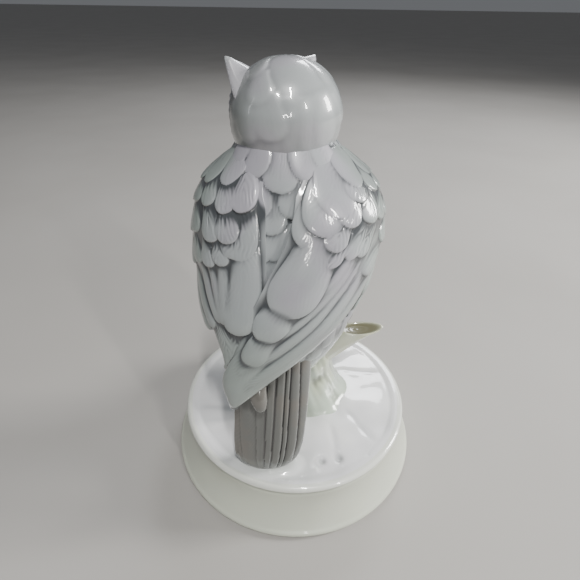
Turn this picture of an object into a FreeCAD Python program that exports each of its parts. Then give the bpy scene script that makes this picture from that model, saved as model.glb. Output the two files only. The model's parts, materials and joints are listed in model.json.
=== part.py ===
import FreeCAD, Part
import math
import os

os.makedirs("parts", exist_ok=True)
V = FreeCAD.Vector

# ---------------------------------------------------------------- driving dimensions, mm
# Frame: origin at the centre of the resting face, +Z up, +Y the way the owl's body faces,
# +X to the owl's right-hand side seen from behind.

# porcelain base
foot_r = 54.0            # outside of the foot ring
rim_r = 48.6             # outside of the rounded rim of the ground disc
ground_z = 24.3          # top of the ground disc
foot_z = 1.0             # foot ring clears the table by this much
joint_z = 21.2           # parting line between drum and ground disc
drum_bore_r = 44.4       # clear radius inside the drum
plate_seat_r = 47.2      # rebate for the bottom plate
plate_seat_z = 5.6
ceiling_z = 20.8         # underside of the ground disc

# owl
wall_t = 4.0             # thickness of the slip-cast walls
head_c = V(-4.8, 0.2, 142.8)
head_r = (16.8, 16.9, 15.9)
face_turn = 48.0         # degrees the face is turned towards -X from straight ahead
wing_t = 3.2             # how far a wing stands off the trunk of the body

# revolving stand
pad_r, pad_t = 43.0, 1.4
table_r, table_t = 44.0, 1.8
arbor_r = 2.0
core_r = 3.0             # spring core on the arbor
washer_r, washer_t = 6.0, 0.75

# wind-up movement
run_gap = 0.05           # radial clearance of every running fit
bed_z0, bed_z1 = 5.6, 7.6
axis_z = 13.9            # height of the cylinder axis
great_teeth, pinion_teeth = 48, 16
drive_m = 0.55           # module of great wheel and cylinder pinion
train_m = 0.42           # module of cylinder gear and governor pinion
gear_teeth, gov_teeth = 26, 13
worm_m = 0.45            # module of worm wheel and endless screw
worm_teeth = 16
worm_r = 2.2             # pitch radius of the endless screw
cyl_r = 6.0
cyl_x0, cyl_x1 = 16.6, 31.0
notes = 18
pin_r, pin_h = 0.2, 0.6
housing_r, housing_t = 11.4, 0.8
housing_z0, housing_z1 = 10.6, 19.8

great_r = drive_m * great_teeth / 2
pinion_r = drive_m * pinion_teeth / 2
gear_r = train_m * gear_teeth / 2
gov_r = train_m * gov_teeth / 2
gov_y = gear_r + gov_r
wheel_r = worm_m * worm_teeth / 2
screw_y = gov_y + wheel_r + worm_r
screw_x = 36.8


# ---------------------------------------------------------------- helpers
def export(node, shape):
    shape.exportStep("parts/" + node + ".step")
    print(node, "solids", len(shape.Solids), "valid", shape.isValid(), "vol %.1f" % shape.Volume)


def cyl(r, z0, z1, x=0.0, y=0.0):
    return Part.makeCylinder(r, z1 - z0, V(x, y, z0), V(0, 0, 1))


def cyl_x(r, x0, x1, y=0.0, z=0.0):
    return Part.makeCylinder(r, x1 - x0, V(x0, y, z), V(1, 0, 0))


def block(x0, x1, y0, y1, z0, z1):
    return Part.makeBox(x1 - x0, y1 - y0, z1 - z0, V(x0, y0, z0))


def fuse(shapes):
    first = shapes[0]
    return first.multiFuse(shapes[1:]) if len(shapes) > 1 else first


def join(base, extras):
    """Fuse pieces on one at a time; a piece that would not blend cleanly is left off."""
    left_off = 0
    for extra in extras:
        trial = base.fuse(extra)
        good = trial.isValid() and len(trial.Solids) == 1
        if good and 0.97 * base.Volume < trial.Volume < 1.1 * (base.Volume + extra.Volume):
            base = trial
        else:
            left_off += 1
    if left_off:
        print("left off", left_off, "of", len(extras))
    return base


def turned(profile):
    """Solid of revolution about Z from (radius, height) corners."""
    pts = [V(r, 0, z) for r, z in profile]
    wire = Part.makePolygon(pts + [pts[0]])
    return Part.Face(wire).revolve(V(0, 0, 0), V(0, 0, 1), 360)


def closed_curve(pts):
    curve = Part.BSplineCurve()
    curve.interpolate(Points=pts, PeriodicFlag=True)
    return Part.Wire([curve.toShape()])


def oval(c, a, b, u, v, n=16, power=2.3):
    """Rounded section about c, half widths a along u and b along v."""
    pts = []
    for i in range(n):
        t = 2 * math.pi * i / n
        cs, sn = math.cos(t), math.sin(t)
        pu = math.copysign(abs(cs) ** (2 / power), cs)
        pv = math.copysign(abs(sn) ** (2 / power), sn)
        pts.append(c + u * (a * pu) + v * (b * pv))
    return closed_curve(pts)


def loft(wires):
    solid = Part.makeLoft(wires, True, False)
    if solid.Volume < 0:
        solid.reverse()
    return solid


def ellipsoid(c, rx, ry, rz, turn=0.0):
    ball = Part.makeSphere(1.0)
    m = FreeCAD.Matrix()
    m.scale(rx, ry, rz)
    ball = ball.transformGeometry(m)
    if turn:
        ball.rotate(V(0, 0, 0), V(0, 0, 1), turn)
    ball.translate(c)
    return ball


def smooth_at(stations, z):
    """Blend neighbouring rows of a station list, the first column being the height."""
    rows = sorted(stations)
    if z <= rows[0][0]:
        return rows[0][1:]
    for lo, hi in zip(rows, rows[1:]):
        if z <= hi[0]:
            k = (z - lo[0]) / (hi[0] - lo[0])
            return [p + (q - p) * k for p, q in zip(lo[1:], hi[1:])]
    return rows[-1][1:]


def feather(root, mid, tip, width, thick, out):
    """One long feather: a bowed blade with a blunt round end."""
    wires = []
    steps = 7
    for i in range(steps + 1):
        t = i / steps
        p = root * ((1 - t) ** 2) + mid * (2 * t * (1 - t)) + tip * (t * t)
        d = (mid - root) * (1 - t) + (tip - mid) * t
        d.normalize()
        side = d.cross(out)
        side.normalize()
        up = side.cross(d)
        shape = min(1.0, 0.62 + 0.9 * t) * math.sqrt(max(0.02, 1 - max(0.0, (t - 0.8) / 0.205) ** 2))
        wires.append(oval(p, width / 2 * shape, thick / 2 * max(0.35, shape), side, up, 12, 2.2))
    return loft(wires)


# ---------------------------------------------------------------- porcelain base
drum_outer = [(foot_r - 0.5, foot_z), (foot_r, foot_z + 0.6), (foot_r, foot_z + 1.5), (foot_r - 0.7, foot_z + 2.2)]
for i in range(9):
    t = i / 8
    drum_outer.append((48.1 + 4.6 * (1 - t) ** 1.9, 4.0 + (joint_z - 4.0) * t))
drum = turned(drum_outer + [(drum_bore_r, joint_z), (drum_bore_r, plate_seat_z),
                            (plate_seat_r, plate_seat_z), (plate_seat_r, foot_z + 0.5),
                            (plate_seat_r + 0.5, foot_z)])
export("base_drum", drum)

disc_profile = [(0, ceiling_z), (42.2, ceiling_z), (42.2, 19.6), (drum_bore_r - 0.2, 19.6),
                (drum_bore_r - 0.2, joint_z), (rim_r - 0.5, joint_z)]
for i in range(7):
    a = math.radians(-50 + 140 * i / 6)
    disc_profile.append((rim_r - 1.6 + 1.6 * math.cos(a), ground_z - 1.5 + 1.5 * math.sin(a)))
disc_profile += [(rim_r - 3.0, ground_z - 0.5), (30.0, ground_z), (0, ground_z + 0.6)]
disc = turned(disc_profile)

# tree trunk, flaring into the ground with root folds
trunk_stations = [(ground_z - 0.2, 3.0, 3.0, 19.5), (28.0, 2.6, 3.0, 17.2), (34.0, 2.0, 3.0, 15.8),
                  (42.0, 1.6, 2.5, 14.2), (50.0, 1.2, 2.0, 13.4), (57.5, 1.0, 2.0, 13.0)]


def trunk_wire(z, x, y, r):
    depth = 0.10 * max(0.15, 1 - (z - ground_z) / 22.0)
    pts = []
    for i in range(36):
        t = 2 * math.pi * i / 36
        rr = r * (1 + depth * math.cos(7 * t + 0.6) + 0.35 * depth * math.cos(3 * t))
        pts.append(V(x + rr * math.cos(t), y + rr * math.sin(t), z))
    return closed_curve(pts)


trunk_solid = loft([trunk_wire(*row) for row in trunk_stations])

# ---------------------------------------------------------------- owl body
# height, centre x, centre y, half width, half depth
body_stations = [
    (54.0, -7.5, -13.0, 13.0, 10.5), (62.0, -7.0, -10.0, 18.5, 16.0), (72.0, -6.5, -7.5, 23.0, 19.5),
    (84.0, -5.8, -5.0, 26.6, 22.0), (98.0, -4.8, -3.2, 28.8, 23.2), (112.0, -4.0, -2.2, 28.2, 22.6),
    (122.0, -3.8, -1.4, 25.0, 20.6), (130.0, -4.0, -0.8, 20.2, 17.6), (137.0, -4.2, -0.3, 14.6, 13.6)]


def body_wire(row, off):
    z, x, y, a, b = row
    return oval(V(x, y, z), a + off, b + off, V(1, 0, 0), V(0, 1, 0), 20, 2.25)


body_solid = loft([body_wire(row, 0.0) for row in body_stations])
inside_rows = [(z, x, y, a, b) for z, x, y, a, b in body_stations[1:-1]]
inside_rows += [(145.0, -4.2, 0.0, 11.5, 11.5)]
body_cavity = loft([body_wire(row, -wall_t) for row in inside_rows])


def skin(z, phi, off=0.0):
    """Point and outward direction on the body; phi is measured from -Y towards +X."""
    x, y, a, b = smooth_at(body_stations, z)
    s, c = math.sin(math.radians(phi)), -math.cos(math.radians(phi))
    k = (abs(s / (a + off)) ** 2.25 + abs(c / (b + off)) ** 2.25) ** (-1 / 2.25)
    n = V(s / a, c / b, 0)
    n.normalize()
    return V(x + k * s, y + k * c, z), n


def scale(z, phi, r, off, lift=14.0):
    """A rounded body feather: a thin disc lying on the skin, its lower edge standing proud."""
    p, n = skin(z, phi, off)
    axis = n * math.cos(math.radians(lift)) + V(0, 0, -1) * math.sin(math.radians(lift))
    disc_shape = Part.makeCylinder(r, 2.6, p - axis * 2.0, axis)
    return disc_shape


# back feathers between the wings
mantle = []
for row in range(4):
    z = 127.5 - 10.5 * row
    count = 4 - row // 2
    for i in range(count):
        phi = (i - (count - 1) / 2) * (19.0 - row) - 4.0
        mantle.append(scale(z, phi, 5.4, 0.6))
# breast feathers on the front
for row in range(6):
    z = 122.0 - 10.0 * row
    count = 5 if row % 2 else 4
    for i in range(count):
        mantle.append(scale(z, 180 + (i - (count - 1) / 2) * 24.0, 5.8, 0.5))
owl_body = join(body_solid, mantle).cut(body_cavity)
owl_body = owl_body.cut(trunk_solid)

# ---------------------------------------------------------------- head
head_solid = ellipsoid(head_c, *head_r)
turn = math.radians(face_turn)
ahead = V(-math.sin(turn), math.cos(turn), 0)
across = V(math.cos(turn), math.sin(turn), 0)
features = []
for side in (-1, 1):
    c = head_c + ahead * 12.2 + across * (side * 7.2) + V(0, 0, -0.5)
    out = ahead + across * (side * 0.28) + V(0, 0, -0.05)
    out.normalize()
    features.append(Part.makeCylinder(9.0, 4.4, c - out * 1.0, out))
eyes, wells = [], []
for side in (-1, 1):
    c = head_c + ahead * 12.2 + across * (side * 7.2) + V(0, 0, -0.5)
    out = ahead + across * (side * 0.28) + V(0, 0, -0.05)
    out.normalize()
    wells.append(Part.makeCone(5.0, 7.8, 1.6, c + out * 1.9, out))
    eyes.append(Part.makeSphere(3.7, c + out * 0.9))
beak_tip = head_c + ahead * 19.0 + V(0, 0, -7.2)
beak_dir = beak_tip - (head_c + ahead * 14.0 + V(0, 0, -1.5))
beak = Part.makeCone(2.6, 0.5, beak_dir.Length, beak_tip - beak_dir, beak_dir)
nape = []
for row in range(3):
    for i in range(7):
        a = math.radians(-90 + (i - 3) * 24.0 + (12.0 if row % 2 else 0.0))
        el = math.radians(8 - 21 * row)
        n = V(math.cos(el) * math.cos(a), math.cos(el) * math.sin(a), math.sin(el))
        p = V(head_c.x + n.x * head_r[0], head_c.y + n.y * head_r[1], head_c.z + n.z * head_r[2])
        axis = n + V(0, 0, -0.28)
        axis.normalize()
        nape.append(Part.makeCylinder(4.3, 2.2, p - axis * 1.7, axis))
head_full = join(head_solid, features + nape)
for w in wells:
    head_full = head_full.cut(w)
head_full = join(head_full, eyes + [beak])
head_cavity = ellipsoid(head_c, head_r[0] - wall_t, head_r[1] - wall_t, head_r[2] - wall_t)
head_cavity = head_cavity.fuse(cyl(7.4, 124.0, 136.0, -4.2, 0.0))
body_plain = body_solid
owl_head = head_full.cut(head_cavity).cut(body_plain)
owl_head = max(owl_head.Solids, key=lambda s: s.Volume)


def ear(base, tip, width, thick, out):
    """Cupped triangular ear tuft."""
    d = tip - base
    d.normalize()
    side = d.cross(out)
    side.normalize()
    up = side.cross(d)
    wires = []
    for t, k in ((0.0, 1.0), (0.35, 0.86), (0.7, 0.5), (0.93, 0.2), (1.0, 0.07)):
        p = base + (tip - base) * t + up * (1.2 * t * t)
        wires.append(oval(p, width / 2 * k, thick / 2 * max(k, 0.3), side, up, 12, 2.0))
    return loft(wires)


ear_left = ear(head_c + ahead * 4.5 - across * 11.0 + V(0, 0, 7.5),
               head_c + ahead * 7.5 - across * 15.5 + V(0, 0, 16.6), 13.0, 5.0, ahead)
ear_right = ear(head_c + ahead * 4.5 + across * 11.0 + V(0, 0, 7.5),
                head_c + ahead * 7.5 + across * 15.5 + V(0, 0, 16.6), 13.0, 5.0, ahead)
ear_left = ear_left.cut(head_full)
ear_right = ear_right.cut(head_full)
ear_left = max(ear_left.Solids, key=lambda s: s.Volume)
ear_right = max(ear_right.Solids, key=lambda s: s.Volume)


# ---------------------------------------------------------------- wings
def crescent(z, phi0, phi1, thick):
    """Closed section of a wing lying round the body between two bearings."""
    n = 9
    outer, inner = [], []
    for i in range(n):
        t = i / (n - 1)
        bow = math.sin(math.pi * (0.12 + 0.76 * t)) ** 0.5
        phi = phi0 + (phi1 - phi0) * t
        outer.append(skin(z, phi, thick * bow)[0])
        inner.append(skin(z, phi, -1.0)[0])
    return closed_curve(outer + inner[::-1])


left_levels = [(131.5, -92, -48, 1.2), (126.0, -108, -36, 2.4), (116.0, -116, -30, wing_t),
               (104.0, -116, -27, 3.6), (92.0, -106, -24, 4.0), (80.0, -92, -20, 4.2),
               (70.0, -74, -18, 3.6), (62.0, -56, -24, 2.2)]
right_levels = [(132.5, 34, 92, 0.8), (128.0, 24, 108, 2.4), (120.0, 16, 118, wing_t),
                (109.0, 8, 118, 3.8), (98.0, 0, 108, 4.6), (88.0, -12, 92, 5.2),
                (79.0, -26, 70, 5.2), (71.0, -36, 46, 4.4)]
left_shell = loft([crescent(*row) for row in left_levels])
right_shell = loft([crescent(*row) for row in right_levels])


back = V(0, -1, 0.15)
left_blades, right_blades = [], []
for i in range(4):
    # long feathers of the left wing, outermost first
    root = skin(98.0, -96 + 20 * i, 1.6)[0]
    tip = skin(60.0 + 2.0 * i, -58 + 16 * i, 4.2)[0]
    mid, out = skin(79.0, -77 + 18 * i, 4.2)
    mid = mid * 2 - (root + tip) * 0.5
    left_blades.append(feather(root, mid, tip, 9.5, 4.0, out))
for i in range(5):
    # long feathers of the right wing, sweeping across the back to the left
    root = V(24.5 - 5.0 * i, -12.0 - 3.6 * i, 93.5 - 0.5 * i)
    tip = V(-19.5 + 1.2 * i, -39.5 - 0.35 * i, 62.5 + 4.4 * i)
    mid = (root + tip) * 0.5 + V(3.0, -5.0, -3.2 + 0.8 * i)
    right_blades.append(feather(root, mid, tip, 10.0, 4.2, back))

right_wing = fuse([right_shell.cut(body_solid)] + [b.cut(body_solid) for b in right_blades])
left_wing = fuse([left_shell.cut(body_solid)] + [b.cut(body_solid) for b in left_blades])
right_wing = max(right_wing.Solids, key=lambda s: s.Volume)
left_wing = max(left_wing.Solids, key=lambda s: s.Volume)

# ---------------------------------------------------------------- tail
# height, centre x, centre y, half width, half thickness
tail_stations = [(ground_z - 0.2, -10.5, -37.6, 9.5, 3.6), (27.0, -10.5, -37.6, 11.2, 3.6),
                 (34.0, -10.0, -36.6, 12.4, 3.4), (46.0, -9.4, -34.6, 13.0, 3.6),
                 (58.0, -8.8, -30.5, 13.2, 4.2), (70.0, -8.2, -25.5, 13.2, 5.2)]


def tail_wire(z, x, y, a, b):
    return oval(V(x, y, z), a, b, V(1, 0, 0), V(0, 1, 0), 20, 2.6)


tail_parts = [loft([tail_wire(*row) for row in tail_stations])]
for i in range(6):
    # rounded shafts of the tail feathers
    k = (i - 2.5) / 2.5
    rib = []
    for z, x, y, a, b in tail_stations:
        p = V(x + 0.86 * a * k, y - b * (1 - 0.45 * abs(k) ** 3) + 0.5, z)
        rib.append(oval(p, a * 0.15, 1.5, V(1, 0, 0), V(0, 1, 0), 12, 2.0))
    tail_parts.append(loft(rib))
tail = join(tail_parts[0], tail_parts[1:])
tail = tail.cut(body_solid)
tail = max(tail.Solids, key=lambda s: s.Volume)

# ---------------------------------------------------------------- feet, trunk, branch
feet = {}
for name, side in (("left_foot", -1), ("right_foot", 1)):
    cx = -1.5 + side * 6.4
    toes = [Part.makeSphere(4.5, V(cx, 12.5, 59.5))]
    for k in (-1, 0, 1):
        toe = Part.makeCylinder(1.55, 7.0, V(cx + 2.6 * k, 12.0, 58.8), V(0.16 * k, 1.0, -0.75))
        claw = Part.makeCone(1.2, 0.3, 3.6, V(cx + 3.3 * k, 16.3, 55.6), V(0.1 * k, 0.35, -1.0))
        toes += [toe, claw]
    feet[name] = fuse([toe.cut(body_solid).cut(trunk_solid) for toe in toes])
    feet[name] = max(feet[name].Solids, key=lambda s: s.Volume)

branch_base, branch_end = V(9.0, 0.5, 50.0), V(29.3, 0.0, 64.6)
along = branch_end - branch_base
along.normalize()
b_side = V(0, 1, 0)
b_up = b_side.cross(along) * -1
branch_wires = []
for t, r in ((0.0, 7.2), (0.25, 6.3), (0.55, 5.5), (0.85, 5.2), (1.12, 5.3)):
    c = branch_base + (branch_end - branch_base) * t
    branch_wires.append(oval(c, r, r, b_side, b_up, 14, 2.1))
branch = loft(branch_wires)
end_cut = Part.makeBox(20, 30, 30, V(0, -15, -15))
end_cut.rotate(V(0, 0, 0), V(0, 1, 0), -8)
end_cut.translate(branch_end + along * 0.6)
branch = branch.cut(end_cut)
end_dish = Part.makeSphere(6.2, branch_end + V(5.9, 0, 1.2))
branch = branch.cut(end_dish).cut(trunk_solid)
branch = max(branch.Solids, key=lambda s: s.Volume)

trunk_cavity = loft([trunk_wire(z, x, y, r - wall_t) for z, x, y, r in trunk_stations[:-1]])
trunk_cavity = trunk_cavity.fuse(cyl(9.0, ground_z - 2.0, ground_z + 4.0, 3.0, 3.0))
trunk = trunk_solid.cut(trunk_cavity).cut(disc)
disc = disc.cut(tail)
trunk = max(trunk.Solids, key=lambda s: s.Volume)
tail = max(tail.cut(disc).Solids, key=lambda s: s.Volume)

for node, shape in (("ground_disc", disc), ("tree_trunk", trunk), ("branch_stub", branch),
                    ("owl_body", owl_body), ("owl_head", owl_head), ("left_ear_tuft", ear_left),
                    ("right_ear_tuft", ear_right), ("left_wing", left_wing),
                    ("right_wing", right_wing), ("tail", tail),
                    ("left_foot", feet["left_foot"]), ("right_foot", feet["right_foot"])):
    export(node, shape)


# ---------------------------------------------------------------- wind-up movement
def gear_points(teeth, module, add, ded, thick):
    """Tooth outline of a spur gear as (radius, angle) corners; thick is a share of the pitch."""
    r = module * teeth / 2
    pitch = 2 * math.pi / teeth
    pts = []
    for i in range(teeth):
        mid = i * pitch
        for rr, w in ((r - ded, thick + 0.16), (r, thick), (r + add, thick - 0.20)):
            pts.append((rr, mid - w * pitch / 2))
        for rr, w in ((r + add, thick - 0.20), (r, thick), (r - ded, thick + 0.16)):
            pts.append((rr, mid + w * pitch / 2))
    return pts


def gear_on_x(teeth, module, x0, x1, y, z, bore, phase=0.0, thick=0.38, add=0.4, ded=0.6):
    """Spur gear on an axle along X; phase 0 puts a tooth straight up."""
    pts = []
    for r, a in gear_points(teeth, module, add, ded, thick):
        a += phase
        pts.append(V(x0, y + r * math.sin(a), z + r * math.cos(a)))
    face = Part.Face(Part.makePolygon(pts + [pts[0]]))
    return face.extrude(V(x1 - x0, 0, 0)).cut(cyl_x(bore, x0 - 1, x1 + 1, y, z))


# revolving stand: pad, turntable, nut, washer, arbor
pad = cyl(pad_r, 0, pad_t).cut(cyl(8.0, -1, pad_t + 1))
export("turntable_pad", pad)
table_z1 = pad_t + table_t
table = cyl(table_r, pad_t, table_z1).cut(cyl(arbor_r, 0, 5))
for i in range(6):
    a = 2 * math.pi * i / 6
    table = table.cut(cyl(4.5, pad_t + 1.0, table_z1 + 1, 27 * math.cos(a), 27 * math.sin(a)))
export("turntable", table)
nut_pts = [V(4.0 * math.cos(math.pi * i / 3), 4.0 * math.sin(math.pi * i / 3), 0.3) for i in range(6)]
nut = Part.Face(Part.makePolygon(nut_pts + [nut_pts[0]])).extrude(V(0, 0, pad_t - 0.3))
export("arbor_nut", nut.cut(cyl(arbor_r, 0, 5)))
export("thrust_washer", cyl(washer_r, table_z1, table_z1 + washer_t).cut(cyl(arbor_r, 0, 9)))
arbor = fuse([cyl(arbor_r, 0.5, 10.8), cyl(core_r, 10.8, 18.8), cyl(1.2, 18.8, 19.9)])
arbor = arbor.cut(block(1.5, 3.0, -3, 3, 0, pad_t - 0.2))
export("winding_arbor", arbor)

# great wheel with crown teeth on its rim
hub_z0, web_z1 = 7.9, 8.9
crown_mid = axis_z - pinion_r
great = cyl(great_r + 0.9, hub_z0, web_z1)
teeth = []
pitch = math.pi * drive_m
for i in range(great_teeth):
    half = [(-0.62, web_z1 - 0.2), (0.62, web_z1 - 0.2), (0.33, crown_mid), (0.20, crown_mid + 0.40),
            (-0.20, crown_mid + 0.40), (-0.33, crown_mid)]
    pts = [V(great_r - 0.8, y, z) for y, z in half]
    tooth = Part.Face(Part.makePolygon(pts + [pts[0]])).extrude(V(1.6, 0, 0))
    tooth.rotate(V(0, 0, 0), V(0, 0, 1), 360.0 * i / great_teeth)
    teeth.append(tooth)
great = fuse([great] + teeth)
for i in range(5):
    a = 2 * math.pi * i / 5
    great = great.cut(cyl(2.4, 7, 12, 7.6 * math.cos(a), 7.6 * math.sin(a)))
great = great.fuse(cyl(4.2, hub_z0, 10.5)).cut(cyl(arbor_r, 5, 12))
export("great_wheel", great)

# bottom plate, bedplate and their screws
bottom = cyl(plate_seat_r - 0.1, 4.0, bed_z0).cut(cyl(3.2, 3, 7))
screw_at = [(-13.5, 15.5), (-13.5, -15.5), (26.0, 14.0), (34.0, -18.5)]
for x, y in screw_at:
    bottom = bottom.cut(cyl(1.3, 3, 7, x, y)).cut(Part.makeCone(2.6, 1.3, 1.0, V(x, y, 4.0)))
bed = block(-18, 41.5, -23, 17.8, bed_z0, bed_z1).common(cyl(43.4, 4, 9))
bed = bed.cut(cyl(arbor_r + run_gap, 3, 9)).cut(block(16.0, 33.4, -7.4, 7.4, 5, 9))
for x, y in screw_at:
    bed = bed.cut(cyl(1.3, 3, 9, x, y))
bed = bed.cut(cyl(0.6 + run_gap, 3, 9, screw_x, screw_y))
export("bottom_plate", bottom)
export("bedplate", bed)
screws = []
for x, y in screw_at:
    head = Part.makeCone(2.5, 1.2, 1.0, V(x, y, 4.05))
    one = head.fuse(cyl(1.2, 4.6, bed_z1, x, y)).cut(block(x - 3, x + 3, y - 0.3, y + 0.3, 3.9, 4.5))
    screws.append(one)
export("bedplate_screws", Part.makeCompound(screws))

# spring housing on three legs, mainspring coil
housing = cyl(housing_r, housing_z0, housing_z1).cut(cyl(housing_r - housing_t, 9, housing_z1 - housing_t))
housing = housing.cut(cyl(1.2 + run_gap, 9, 22))
for i in range(3):
    a = 60 + 120 * i
    leg = block(housing_r - 0.5, 16.0, -2.5, 2.5, 11.2, 12.2)
    leg = leg.fuse(block(15.0, 16.0, -2.5, 2.5, bed_z1, 12.2))
    leg = leg.fuse(block(15.0, 17.8, -2.5, 2.5, bed_z1, bed_z1 + 1.0))
    leg.rotate(V(0, 0, 0), V(0, 0, 1), a)
    housing = housing.fuse(leg)
export("spring_housing", housing)
turns, strip = 6.0, 0.45
r_in, r_out = core_r + 0.35, housing_r - housing_t - 0.05
outer_pts, inner_pts = [], []
steps = int(turns * 16)
for i in range(steps + 1):
    t = i / steps
    a = 2 * math.pi * turns * t
    r = r_in + (r_out - strip - r_in) * t
    inner_pts.append(V(r * math.cos(a), r * math.sin(a), 0))
    outer_pts.append(V((r + strip) * math.cos(a), (r + strip) * math.sin(a), 0))
edges = []
for pts in (inner_pts, outer_pts):
    c = Part.BSplineCurve()
    c.interpolate(Points=pts)
    edges.append(c.toShape())
edges.append(Part.makeLine(inner_pts[0], outer_pts[0]))
edges.append(Part.makeLine(inner_pts[-1], outer_pts[-1]))
coil = Part.Face(Part.Wire(Part.__sortEdges__(edges))).extrude(V(0, 0, 7.0))
coil.translate(V(0, 0, 11.4))
export("mainspring", coil)

# cylinder with its arbor and gears
export("cylinder_arbor", fuse([cyl_x(1.0, 12.3, 33.6, 0, axis_z), cyl_x(0.7, 33.5, 35.4, 0, axis_z)]))
export("cylinder_pinion", gear_on_x(pinion_teeth, drive_m, great_r - 0.8, great_r + 0.8, 0, axis_z, 1.0,
                                    math.pi / pinion_teeth, 0.34, 0.40, 0.62))
body_x0, body_x1 = cyl_x0, cyl_x1
drum_shell = cyl_x(cyl_r, body_x0, body_x1, 0, axis_z).cut(cyl_x(cyl_r - 0.5, body_x0 + 1, body_x1 - 1, 0, axis_z))
drum_shell = drum_shell.cut(cyl_x(1.0, 10, 40, 0, axis_z))
step = (cyl_x1 - cyl_x0) / notes
pins = []
for k in range(notes):
    for j in range(4):
        a = math.radians((k * 47 + j * 90 + 13 * ((k * j) % 3)) % 360)
        d = V(0, math.sin(a), math.cos(a))
        p = V(cyl_x0 + step * (k + 0.5), 0, axis_z) + d * (cyl_r - 0.3)
        pins.append(Part.makeCylinder(pin_r, pin_h + 0.3, p, d))
export("pin_cylinder", fuse([drum_shell] + pins))
gear_x0, gear_x1 = cyl_x1 + 0.5, cyl_x1 + 1.9
export("cylinder_gear", gear_on_x(gear_teeth, train_m, gear_x0, gear_x1, 0, axis_z, 1.0,
                                  math.pi / 2, 0.38, 0.32, 0.52))

# bearings and governor
bearing = block(14.9, 16.1, -3.0, 3.0, bed_z1, 16.6).cut(cyl_x(1.0 + run_gap, 10, 20, 0, axis_z))
bearing = bearing.fuse(block(14.9, 16.1, -10.5, 10.5, bed_z1, bed_z1 + 1.2)).cut(cyl(14.7, 7, 12))
export("cylinder_bearing", bearing)
export("governor_shaft", fuse([cyl_x(0.8, 31.3, 38.3, gov_y, axis_z), cyl_x(0.6, 38.2, 39.9, gov_y, axis_z)]))
export("governor_pinion", gear_on_x(gov_teeth, train_m, gear_x0, gear_x1, gov_y, axis_z, 0.8,
                                    math.pi / 2, 0.34, 0.32, 0.52))
wheel_x0, wheel_x1 = screw_x - 0.7, screw_x + 0.7
export("worm_wheel", gear_on_x(worm_teeth, worm_m, wheel_x0, wheel_x1, gov_y, axis_z, 0.8,
                               math.pi / 2 + math.pi / (2 * worm_teeth), 0.32, 0.32, 0.5))
frame_plates = [block(34.0, 35.2, -3.0, 9.9, bed_z1, 17.0), block(34.0, 35.2, 5.4, 9.9, bed_z1, 19.4),
                block(38.6, 39.8, 5.4, 9.9, bed_z1, 19.4), block(34.0, 39.8, 5.4, 16.4, 18.3, 19.4)]
gov_frame = fuse(frame_plates)
gov_frame = gov_frame.cut(cyl_x(0.7 + run_gap, 33, 36, 0, axis_z)).cut(cyl_x(0.8 + run_gap, 33, 36, gov_y, axis_z))
gov_frame = gov_frame.cut(cyl_x(0.6 + run_gap, 38, 41, gov_y, axis_z))
gov_frame = gov_frame.cut(cyl(0.6 + run_gap, 17, 20, screw_x, screw_y))
export("governor_frame", gov_frame)

lead = math.pi * worm_m
thread_z0, thread_len = axis_z - 2.5 * lead, 5 * lead
core = fuse([cyl(0.6, bed_z0 + 0.4, 19.2, screw_x, screw_y), cyl(1.0, 7.7, 18.2, screw_x, screw_y),
             cyl(worm_r - 0.6, thread_z0 - 0.3, thread_z0 + thread_len + 0.3, screw_x, screw_y)])
helix = Part.makeHelix(lead, thread_len, worm_r)
profile = Part.makePolygon([V(worm_r - 0.6, 0, -0.42), V(worm_r, 0, -0.23), V(worm_r + 0.32, 0, -0.12),
                            V(worm_r + 0.32, 0, 0.12), V(worm_r, 0, 0.23), V(worm_r - 0.6, 0, 0.42),
                            V(worm_r - 0.6, 0, -0.42)])
thread = Part.Wire(helix).makePipeShell([profile], True, True)
thread.translate(V(screw_x, screw_y, thread_z0))
export("endless_screw", Part.makeCompound([core, thread]))
blades = [block(screw_x - 3.9, screw_x + 3.9, screw_y - 0.25, screw_y + 0.25, 7.9, 9.6),
          cyl(1.6, 7.9, 9.6, screw_x, screw_y)]
export("fly", fuse(blades).cut(cyl(1.0, 7, 11, screw_x, screw_y)))

# comb on its bed
comb_y0, comb_y1 = -22.0, -(cyl_r + pin_h + 0.35)
heel_y = -15.5
comb = block(cyl_x0, cyl_x1, comb_y0, heel_y, axis_z - 0.7, axis_z + 0.7)
for k in range(notes):
    x = cyl_x0 + step * (k + 0.5)
    comb = comb.fuse(block(x - 0.28, x + 0.28, heel_y - 0.5 - 2.2 * (1 - k / notes), comb_y1,
                           axis_z - 0.35, axis_z + 0.35))
comb_holes = [(cyl_x0 + 3.0, -19.5), (cyl_x1 - 3.0, -19.5)]
for x, y in comb_holes:
    comb = comb.cut(cyl(1.05, 10, 20, x, y))
export("comb", comb)
comb_bed = block(cyl_x0, cyl_x1, comb_y0, -16.5, bed_z1, axis_z - 0.7)
for x, y in comb_holes:
    comb_bed = comb_bed.cut(cyl(1.0, 9, 20, x, y))
export("comb_bed", comb_bed)
comb_screws = []
for x, y in comb_holes:
    one = fuse([cyl(1.0, 9.2, axis_z + 0.8, x, y), cyl(1.9, axis_z + 0.7, axis_z + 1.9, x, y)])
    comb_screws.append(one.cut(block(x - 2, x + 2, y - 0.25, y + 0.25, axis_z + 1.4, axis_z + 2)))
export("comb_screws", Part.makeCompound(comb_screws))
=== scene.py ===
import json
import math
import bpy
import numpy as np
from mathutils import Matrix, Vector


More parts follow.
